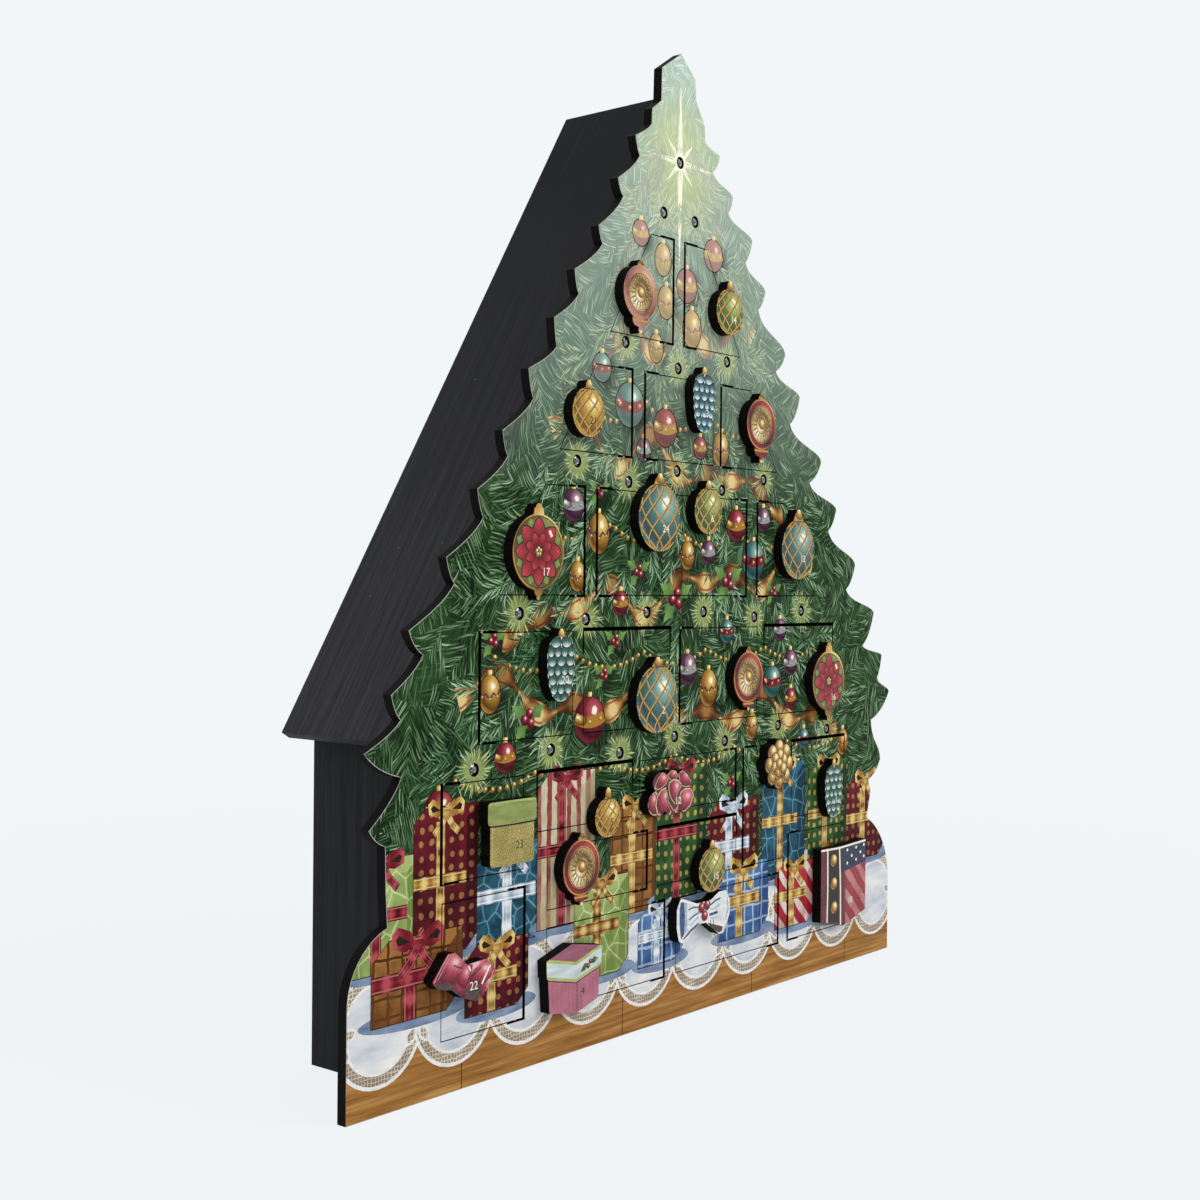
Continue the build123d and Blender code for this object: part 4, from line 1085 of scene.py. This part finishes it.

# %% Boxes, drawn one by one
# Areas, lines and dots in hundredths of half the knob's width and height; lines and dots also have
# their own width or radius in mm
drawings = {
    "hatbox": dict(
        ground="glitter_gold",
        areas=[("lid_olive", [(-110, 28), (110, 28), (110, 110), (-110, 110)])],
        lines=[("ink_dark", 0.8, [(-110, 26), (0, 24), (110, 26)]),
               ("box_lime", 0.8, [(-110, 95), (0, 97), (110, 95)]),
               ("glass_cream", 0.6, [(-82, -100), (-82, 0), (-82, 24)])],
        dots=[]),
    "present": dict(
        ground="box_pink",
        areas=[("box_rose", [(-110, 68), (-12, 110), (110, 80), (4, 42)]),
               ("box_mint", [(-110, 72), (4, 42), (4, -6), (-110, 24)]),
               ("box_mint", [(4, 42), (110, 80), (110, 28), (4, -6)]),
               ("box_rose", [(4, -6), (12, -3), (12, -110), (4, -110)]),
               ("leaf_green", [(20, 14), (34, 36), (52, 34), (36, 16)]),
               ("leaf_green", [(52, 34), (70, 50), (86, 42), (70, 30)])],
        lines=[("box_lime", 1.5, [(-110, 72), (4, 42), (110, 80)]),
               ("box_lime", 1.3, [(-110, 24), (4, -6), (110, 28)]),
               ("ink_dark", 0.4, [(-110, 17), (4, -13), (110, 21)])],
        dots=[("satin_red", 0.9, [(48, 26), (56, 38)])]),
    "gift": dict(
        ground="box_candy",
        areas=[("box_wine", [(-110, 110), (-10, 110), (2, -110), (-110, -110)]),
               ("ink_dark", [(-70, 95), (-22, 93), (-16, -92), (-70, -80)]),
               ("box_wine", [(-10, 30), (6, 33), (10, -110), (0, -110)]),
               ("lid_navy", [(-10, 30), (110, 46), (110, 110), (-10, 110)])],
        lines=[("ink_pale", 1.3, [(-72, 95), (-70, 0), (-72, -82)]),
               ("ink_pale", 1.3, [(-20, 94), (-14, 0), (-12, -96)]),
               ("ink_pale", 1.1, [(-100, 93), (-20, 91), (100, 96)])],
        dots=[("gilt", 3.4, [(-45, 64), (-43, 8), (-41, -50)]),
              ("ink_pale", 0.9, [(16, 82), (16, 50), (36, 66), (56, 84), (56, 54),
                                 (76, 70), (92, 86), (92, 58)])]),
}
print("drawings:", len(drawings))

# %% Bows, drawn one by one
drawings |= {
    "ribbon": dict(
        ground="satin_rose",
        areas=[("bow_hollow", [(-95, 2), (-52, -4), (-31, -33), (-10, -70), (-44, -52),
                               (-95, -36)]),
               ("bow_hollow", [(2, -52), (29, -37), (55, -52), (40, -110), (5, -90)]),
               ("satin_rose", [(-100, 7), (-50, 105), (-18, 98), (8, 52), (-18, 26),
                               (-31, -26), (-52, -2), (-78, 5)]),
               ("satin_rose", [(2, -42), (17, 0), (34, 24), (72, 45), (103, -5),
                               (76, -52), (55, -48), (29, -32)]),
               ("satin_rose", [(55, -52), (103, -7), (68, -88), (40, -110)]),
               ("satin_rose", [(-29, -22), (-20, 19), (6, 46), (25, 42), (17, 4),
                               (2, -44), (-18, -48)])],
        lines=[("edge_rose", 0.6, [(-97, 7), (-74, 55), (-50, 100)]),
               ("edge_rose", 0.4, [(-84, 14), (-62, 60), (-42, 98)]),
               ("edge_rose", 0.5, [(96, 0), (82, -37), (68, -74)]),
               ("box_wine", 0.6, [(-20, 19), (-30, 0), (-29, -22)]),
               ("box_wine", 0.6, [(25, 39), (17, 4), (2, -44)]),
               ("box_wine", 0.6, [(-5, 35), (-20, 42), (-36, 56)]),
               ("box_wine", 0.8, [(20, -5), (36, 6), (52, 22)]),
               ("ink_pale", 1.0, [(83, 22), (69, -11), (56, -42)]),
               ("ink_pale", 0.8, [(12, 37), (16, 28), (19, 18)])],
        dots=[]),
    "tie": dict(
        ground="bow_white",
        areas=[("fold_navy", [(-87, 84), (-75, 85), (-71, 14), (-74, -60), (-84, -80),
                              (-90, -22), (-91, 50)]),
               ("fold_pale", [(-75, 85), (-64, 74), (-62, -44), (-74, -60), (-71, 14)]),
               ("bow_hollow", [(11, -31), (42, -50), (72, -71), (69, -90), (54, -93),
                               (27, -60)])],
        lines=[("fold_navy", 0.8, [(-20, 45), (-40, 50), (-58, 44)]),
               ("fold_navy", 0.8, [(-20, 20), (-42, 10), (-56, -2)]),
               ("fold_pale", 0.8, [(-20, 2), (-36, -12), (-50, -30)]),
               ("fold_navy", 1.3, [(-20, -28), (-50, -52), (-76, -84)]),
               ("fold_navy", 1.0, [(24, 42), (42, 56), (62, 62)]),
               ("fold_pale", 0.9, [(24, 20), (42, 22), (60, 34)]),
               ("fold_navy", 1.4, [(20, -2), (36, 0), (52, 2)]),
               ("fold_pale", 0.8, [(24, -16), (40, -22), (50, -20)]),
               ("fold_pale", 1.0, [(88, 60), (92, 10), (82, -44)]),
               ("ink_pale", 1.0, [(-90, 95), (-55, 76), (-20, 52)]),
               ("ink_pale", 1.0, [(-82, -94), (-50, -66), (-20, -38)]),
               ("ink_pale", 0.8, [(11, -29), (42, -48), (76, -68)])],
        dots=[("satin_red", 2.5, [(-10, 39), (11, 46), (2, 0)])]),
}

# The loops of the big bow, back to front, in the same hundredths
bow_loops = [
    [(-75, 30), (-62, 68), (-39, 98), (-18, 94), (-11, 68), (-23, 41), (-46, 24),
     (-68, 18)],
    [(-18, 82), (-1, 102), (19, 95), (28, 68), (4, 53), (-14, 64)],
    [(27, 82), (46, 95), (67, 75), (88, 37), (88, 15), (62, 13), (44, 22),
     (34, 53)],
    [(-102, -62), (-102, -20), (-87, 10), (-68, 20), (-59, 3), (-69, -24), (-69, -62),
     (-60, -94), (-82, -90)],
    [(-62, -90), (-70, -47), (-64, -8), (-46, 22), (-25, 30), (-20, 3), (-23, -27),
     (-14, -58), (1, -86), (-5, -103), (-37, -103)],
    [(85, -72), (103, -24), (89, 10), (58, 12), (39, -2), (32, -31), (23, -69),
     (13, -91), (35, -102), (62, -95)],
    [(-15, 26), (-12, 49), (8, 62), (32, 53), (45, 34), (42, 15), (31, 1),
     (20, -25), (15, -58), (-1, -33), (-12, -2)],
]
print("drawings:", len(drawings), "and a bow of", len(bow_loops), "loops")

# %% Balls
BLEED = 5  # how far colour runs on past an outline, for the saw
CAP = 4  # how far the shading of a gilt cap reaches, in mm


def cover_of(loop):
    """A rectangle over a knob that runs on past its outline."""
    x, z, wide, high = middle(loop)
    return box_of(x - 2 * wide, x + 2 * wide, z - high - BLEED, z + high + BLEED)


def ball_face(motifs, look, loop):
    """A netted glass ball with a gilt cap."""
    x, z, wide, high = middle(loop)
    foot, top = z - high, z + high
    ball_top = foot + 2 * wide
    paint(motifs, look, cover_of(loop), (x, foot + wide, wide, wide))
    net(motifs, "gilt", loop, foot + 0.3, ball_top - 0.5, 0.9)
    paint(motifs, "ink_dark", box_of(x - wide, x + wide, ball_top - 1.0, top + BLEED),
          (x, z, wide, high))
    paint(motifs, "gilt", box_of(x - wide, x + wide, ball_top - 0.6, top + BLEED),
          (x, top - 2, CAP, CAP))


print("ball faces ready")

# %% Reflectors
def widest_of(loop):
    """The height at which a knob is widest."""
    z, high = middle(loop)[1::2]
    levels = [z - high + 2 * high * i / 40 for i in range(1, 40)]
    return max(levels, key=lambda level: edges_at(loop, level)[1] - edges_at(loop, level)[0])


def reflector_face(motifs, look, loop):
    """A ball with a fluted hollow, which is lit from below."""
    x, z, wide, high = middle(loop)
    foot, top, widest = z - high, z + high, widest_of(loop)
    paint(motifs, look, cover_of(loop), (x, widest, wide, 1.2 * wide))
    for finish, share in (("gilt", 0.98), (look, 0.93), ("gilt", 0.74), ("ink_dark", 0.71)):
        dot(motifs, finish, x, widest, share * wide, 32)
    dot(motifs, "glass_cream", x, widest, 0.69 * wide, 32, math.pi)
    flower(motifs, "glass_olive", x, widest, 0.34 * wide, 0.68 * wide, 0.035 * wide, 18, 0.1)
    for finish, share, turn in (("ink_dark", 0.37, 0.0), ("glass_cream", 0.35, math.pi),
                                ("gilt", 0.2, 0.0)):
        dot(motifs, finish, x, widest, share * wide, 32, turn)
    for low, end in ((widest + 0.98 * wide, top + BLEED), (foot - BLEED, foot + 1.6)):
        paint(motifs, "gilt", box_of(x - wide, x + wide, low, end),
              (x, (low + end) / 2, CAP, CAP))
    neck = widest - 1.0 * wide
    strip(motifs, "gilt", [(x - wide, neck), (x, neck - 0.4), (x + wide, neck)], 1.0)


print("knob 1 is widest at", round(widest_of(knobs[1]), 1), "mm")

# %% Flowers
# Finish, inner and outer reach, half width and turn of each ring of petals, in half widths
petal_rings = (("leaf_green", 0.2, 0.92, 0.2, math.pi / 8), ("ink_dark", 0.05, 0.93, 0.28, 0.0),
               ("petal_red", 0.08, 0.89, 0.24, 0.0), ("ink_dark", 0.04, 0.56, 0.17, math.pi / 8),
               ("petal_red", 0.06, 0.52, 0.14, math.pi / 8))


def flower_face(motifs, look, loop):
    """A red flower on an olive ground in a gilt rim."""
    x, widest, wide = middle(loop)[0], widest_of(loop), middle(loop)[2]
    paint(motifs, "gilt", cover_of(loop), (x, widest, wide, 1.3 * wide))
    dot(motifs, "ink_dark", x, widest, 0.95 * wide, 32)
    dot(motifs, "glass_olive", x, widest, 0.93 * wide, 32)
    for finish, inner, outer, width, turn in petal_rings:
        flower(motifs, finish, x, widest, inner * wide, outer * wide, width * wide, 8, turn)
    strip(motifs, "ink_pale", [(x + 0.42 * wide, widest + 0.56 * wide),
                               (x + 0.52 * wide, widest + 0.4 * wide)], 0.09 * wide)
    dot(motifs, "ink_dark", x, widest, 0.16 * wide, 32)
    for turn in (0.4, 1.7, 2.9, 4.2, 5.4):
        dot(motifs, "gilt", x + 0.08 * wide * math.cos(turn), widest + 0.08 * wide * math.sin(turn),
            0.06 * wide, 12)


print("rings of petals:", len(petal_rings))

# %% Cones
SCALE_WIDTH, SCALE_STEP = 6.6, 4.2  # of a cone's scales, in mm


def cone_face(motifs, look, loop):
    """Rows of frosted scales, each row over the one below, and a gilt cap."""
    x, z, wide, high = middle(loop)
    foot, top = z - high, z + high
    paint(motifs, look, cover_of(loop), (x, top + high, wide, wide), -math.pi / 2)
    level, row = foot - 0.6, 0
    while level < top - 6:
        left, right = edges_at(loop, max(level, foot) + 2.2)
        count = max(2, round((right - left) / SCALE_WIDTH)) + row % 2
        for i in range(count):
            sx = left + (right - left) * (i + 0.5) / count
            for finish, grow in (("ink_dark", 0.45), (look, 0.0)):
                r = 0.46 * (right - left) / count + grow
                scale = [(sx + r * math.cos(t), level + 2.6 + (2.8 + grow) * math.sin(t))
                         for t in (math.pi + math.pi * k / 8 for k in range(9))]
                scale += [(sx + 0.7 * r, level + 5.6), (sx - 0.7 * r, level + 5.6)]
                paint(motifs, finish, scale, (sx, level + 2.4, 2.4, r), -math.pi / 2)
        level, row = level + SCALE_STEP, row + 1
    paint(motifs, "gilt", box_of(x - wide, x + wide, top - 3.8, top + BLEED),
          (x, top - 2, CAP, CAP))


print("cone scales every", SCALE_STEP, "mm")

# %% Rosette
# Reach and size in half widths, number of balls and turn of each ring
rosette_rings = ((0.66, 0.33, 8, 0.0), (0.34, 0.29, 6, 0.4), (0.0, 0.24, 1, 0.0))


def rosette_face(motifs, look, loop):
    """Rings of gilt balls round one in the middle."""
    x, z, wide, high = middle(loop)
    paint(motifs, "ink_dark", cover_of(loop), (x, z, wide, high))
    for ring, size, count, turn in rosette_rings:
        for i in range(count):
            way = turn + 2 * math.pi * i / count
            px, pz = x + ring * wide * math.cos(way), z + ring * wide * math.sin(way)
            for finish, share in (("ink_dark", 1.0), ("gilt", 0.9)):
                dot(motifs, finish, px, pz, share * size * wide, 18)


print("balls of the rosette:", sum(ring[2] for ring in rosette_rings))

# %% Bow and drawn faces
def placed(pairs, loop):
    """Points given in hundredths of half a knob's width and height."""
    x, z, wide, high = middle(loop)
    return [(x + u / 100 * wide, z + v / 100 * high) for u, v in pairs]


def bow_face(motifs, look, loop):
    """A bow of seven satin loops, each with a cream edge."""
    paint(motifs, "box_wine", cover_of(loop), middle(loop))
    for pairs in bow_loops:
        ring = placed(pairs, loop)
        place = middle(ring)
        for finish, share in (("ink_dark", 1.06), ("edge_cream", 0.98), ("satin_rose", 0.86)):
            grown = [(place[0] + share * (a - place[0]), place[1] + share * (b - place[1]))
                     for a, b in ring]
            paint(motifs, finish, grown, place)
    strip(motifs, "edge_cream", placed([(-20, 5), (-14, -40), (10, -83), (24, -77),
                                        (35, -24), (44, -1)], loop), 0.5)


def drawn_face(motifs, look, loop):
    """A box or a bow, as drawn above."""
    drawing = drawings[look]
    paint(motifs, drawing["ground"], cover_of(loop), middle(loop))
    for finish, pairs in drawing["areas"]:
        paint(motifs, finish, placed(pairs, loop), middle(placed(pairs, loop)))
    for finish, width, pairs in drawing["lines"]:
        strip(motifs, finish, placed(pairs, loop), width)
    for finish, r, pairs in drawing["dots"]:
        for px, pz in placed(pairs, loop):
            paint(motifs, "ink_dark", disc(px, pz, r + 0.3, 16), (px, pz, r, r))
            dot(motifs, finish, px, pz, r, 16)


faces = {"ball": ball_face, "drop": ball_face, "reflector": reflector_face, "flower": flower_face,
         "cone": cone_face, "rosette": rosette_face, "bow": bow_face}
print("kinds of knob:", len(faces) + len(drawings))

# %% Print the knobs
# Kind and main finish of each knob. A kind that isn't in the list of faces is a drawing
looks = {
    1: ("reflector", "glass_rose"), 2: ("ball", "glass_green"), 3: ("ball", "glass_gold"),
    4: ("cone", "scale_teal"), 5: ("reflector", "glass_ruby"), 6: ("flower", ""),
    7: ("drop", "glass_teal"), 8: ("ball", "glass_green"), 9: ("drop", "glass_teal"),
    10: ("cone", "scale_green"), 11: ("drop", "glass_teal"), 12: ("reflector", "glass_ruby"),
    13: ("flower", ""), 14: ("hatbox", ""), 15: ("ball", "glass_gold"), 16: ("bow", ""),
    17: ("rosette", ""), 18: ("cone", "scale_green"), 19: ("reflector", "glass_ruby"),
    20: ("ball", "glass_green"), 21: ("ribbon", ""), 22: ("present", ""), 23: ("tie", ""),
    24: ("gift", ""),
}
pale_ink = ("ball", "drop", "flower", "cone", "gift", "bow", "ribbon")
NUMERAL = 3.6  # its height in mm
total = 0
for number, (kind, look) in looks.items():
    loop, motifs = knobs[number], []
    faces.get(kind, drawn_face)(motifs, look or kind, loop)
    x, z, wide, high = middle(loop)
    # Seven times the knob's own number, modulo 25, strews 1 to 24 with no repeat
    text = str(7 * number % 25)
    ink = "ink_pale" if kind in pale_ink and look != "glass_gold" else "ink_dark"
    numeral(motifs, ink, text, x + 0.3 * wide, z - 0.42 * high, NUMERAL)
    points, found = cut([("knob", loop)], [], motifs)
    total += lay_sheet(f"knob_{number:02d}_print", f"door_{number:02d}_leaf", points,
                       found["knob"], knob_front, PAPER)
print("knob prints:", total, "faces")

# %% [markdown]
# ## Inside the lamps
#
# Through the clear dome of such a lamp one sees two steel posts, the taller one with a small
# cup that holds the chip. They are tiny, yet they are what makes the dome read as a lamp and
# not as a drop of glue. They are turned shapes, so short cones are enough.

# %% Posts and cups
# How far aside and behind the panel's front each piece is, its radius at both ends, its length in
# mm, and its number of sides
turned_pieces = ((-0.7, 2.9, 0.25, 0.25, 3.4, 8), (0.7, 2.5, 0.25, 0.25, 4.2, 8),
                 (0.7, 1.6, 0.45, 0.95, 1.0, 14))
lying = Matrix.Rotation(math.pi / 2, 4, "X")
work = bmesh.new()
for x, z in lamps:
    for aside, behind, back_end, front_end, long, sides in turned_pieces:
        place = Matrix.Translation(((x + aside) * MM, (panel_front + behind) * MM, z * MM))
        bmesh.ops.create_cone(work, cap_ends=True, segments=sides, radius1=back_end * MM,
                              radius2=front_end * MM, depth=long * MM, matrix=place @ lying)
mesh = bpy.data.meshes.new("lamp_posts")
work.to_mesh(mesh)
work.free()
mesh.materials.append(paints["hinge_pins"])
posts = bpy.data.objects.new("lamp_posts", mesh)
bpy.context.scene.collection.objects.link(posts)
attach(posts, "case")
print("lamp posts:", len(mesh.polygons), "faces")

# %% [markdown]
# ## Studio
#
# The object stands on a pale floor that runs on behind it. The camera sees the floor and the
# world as the same cool near-white, so no horizon shows, while the floor still keeps a soft
# shadow. A large soft light stands in front and to the right, and a weaker one on the left.

# %% Floor
def seen_rays(tree):
    """1 for what the camera, gloss and glass show, else 0."""
    path = add(tree, "LightPath")
    seen = add(tree, "Math", {0: path["Is Camera Ray"], 1: path["Is Glossy Ray"]},
               operation="MAXIMUM")[0]
    return add(tree, "Math", {0: seen, 1: path["Is Transmission Ray"]}, operation="MAXIMUM")[0]


backdrop = linear("#f3f6f8")
SHADOW_TO, PLAIN_FROM, SHADOW_SHARE = 0.25, 0.9, 0.92  # metres from the middle, share of backdrop
FLOOR = 30.0  # half its width in metres
finish, tree, skin = new_finish("matt_paper_floor", Roughness=0.9)
where = add(tree, "TexCoord")["Object"]
grain = add(tree, "TexNoise", {"Vector": where, "Scale": 4.0, "Detail": 3.0})[0]
tone = add(tree, "ValToRGB", {0: grain}, stops=[(0.3, "#eef1f3"), (0.7, "#f4f6f8")])[0]
coat(tree, skin, Base_Color=tone)
plain = add(tree, "Emission", {"Color": backdrop, "Strength": 1.0})[0]
far = add(tree, "VectorMath", {0: where}, operation="LENGTH")["Value"]
share = add(tree, "MapRange", {0: far, 1: SHADOW_TO, 2: PLAIN_FROM, 3: SHADOW_SHARE, 4: 1.0},
            interpolation_type="SMOOTHSTEP")[0]
share = add(tree, "Math", {0: seen_rays(tree), 1: share}, operation="MULTIPLY")[0]
seen = add(tree, "MixShader", {0: share, 1: skin.outputs[0], 2: plain})[0]
tree.links.new(seen, tree.nodes["Material Output"].inputs["Surface"])
mesh = bpy.data.meshes.new("studio_floor")
mesh.from_pydata([(x, y, 0) for x, y in box_of(-FLOOR, FLOOR, -FLOOR, FLOOR)], [], [(0, 1, 2, 3)])
mesh.materials.append(finish)
floor = bpy.data.objects.new("studio_floor", mesh)
bpy.context.scene.collection.objects.link(floor)
print("studio floor:", 2 * FLOOR, "m wide")

# %% World
world = bpy.data.worlds.new("studio")
bpy.context.scene.world = world
world.use_nodes = True
tree = world.node_tree
glow = add(tree, "Background", {"Color": linear("#eef2f5"), "Strength": 0.62})[0]
plain = add(tree, "Background", {"Color": backdrop, "Strength": 1.0})[0]
seen = add(tree, "MixShader", {0: seen_rays(tree), 1: glow, 2: plain})[0]
tree.links.new(seen, tree.nodes["World Output"].inputs["Surface"])
print("world:", len(tree.nodes), "nodes")

# %% Lights
def soft_light(name, place, aim, size, power):
    """A square soft light that looks at a point."""
    lamp = bpy.data.lights.new(name, "AREA")
    lamp.size, lamp.energy = size, power
    holder = bpy.data.objects.new(name, lamp)
    holder.location = place
    holder.rotation_euler = (Vector(aim) - Vector(place)).to_track_quat("-Z", "Y").to_euler()
    bpy.context.scene.collection.objects.link(holder)


CENTRE = (0, 0, 0.24)
soft_light("front_soft", (0.7, -1.8, 1.5), CENTRE, 1.4, 22)
soft_light("left_soft", (-2.0, -0.5, 1.1), CENTRE, 1.2, 12)
print("soft lights: 2")

# %% Camera
SENSOR, FOCAL_PIXELS, IMAGE_PIXELS = 36.0, 1621.6, 1200  # mm, and the image's own pixels
# Fitted to the photo: where the camera stands in metres, and how it is turned in degrees
STAND = (-0.6471, -0.51805, 0.2151)
yaw, pitch, roll = (math.radians(a) for a in (50.56, -0.46, 0.54))
ahead = Vector((math.sin(yaw) * math.cos(pitch), math.cos(yaw) * math.cos(pitch), math.sin(pitch)))
right = Vector((math.cos(yaw), -math.sin(yaw), 0.0))
above = right.cross(ahead)
across = math.cos(roll) * right + math.sin(roll) * above
upward = math.cos(roll) * above - math.sin(roll) * right
camera = bpy.data.objects.new("camera", bpy.data.cameras.new("camera"))
camera.data.sensor_width, camera.data.lens = SENSOR, SENSOR * FOCAL_PIXELS / IMAGE_PIXELS
turned = Matrix((across, upward, -ahead)).transposed().to_4x4()
camera.matrix_world = Matrix.Translation(STAND) @ turned
bpy.context.scene.collection.objects.link(camera)
bpy.context.scene.camera = camera
bpy.context.scene.view_settings.view_transform = "Standard"
print("camera", round(camera.data.lens, 2), "mm at", [round(c, 3) for c in camera.location])
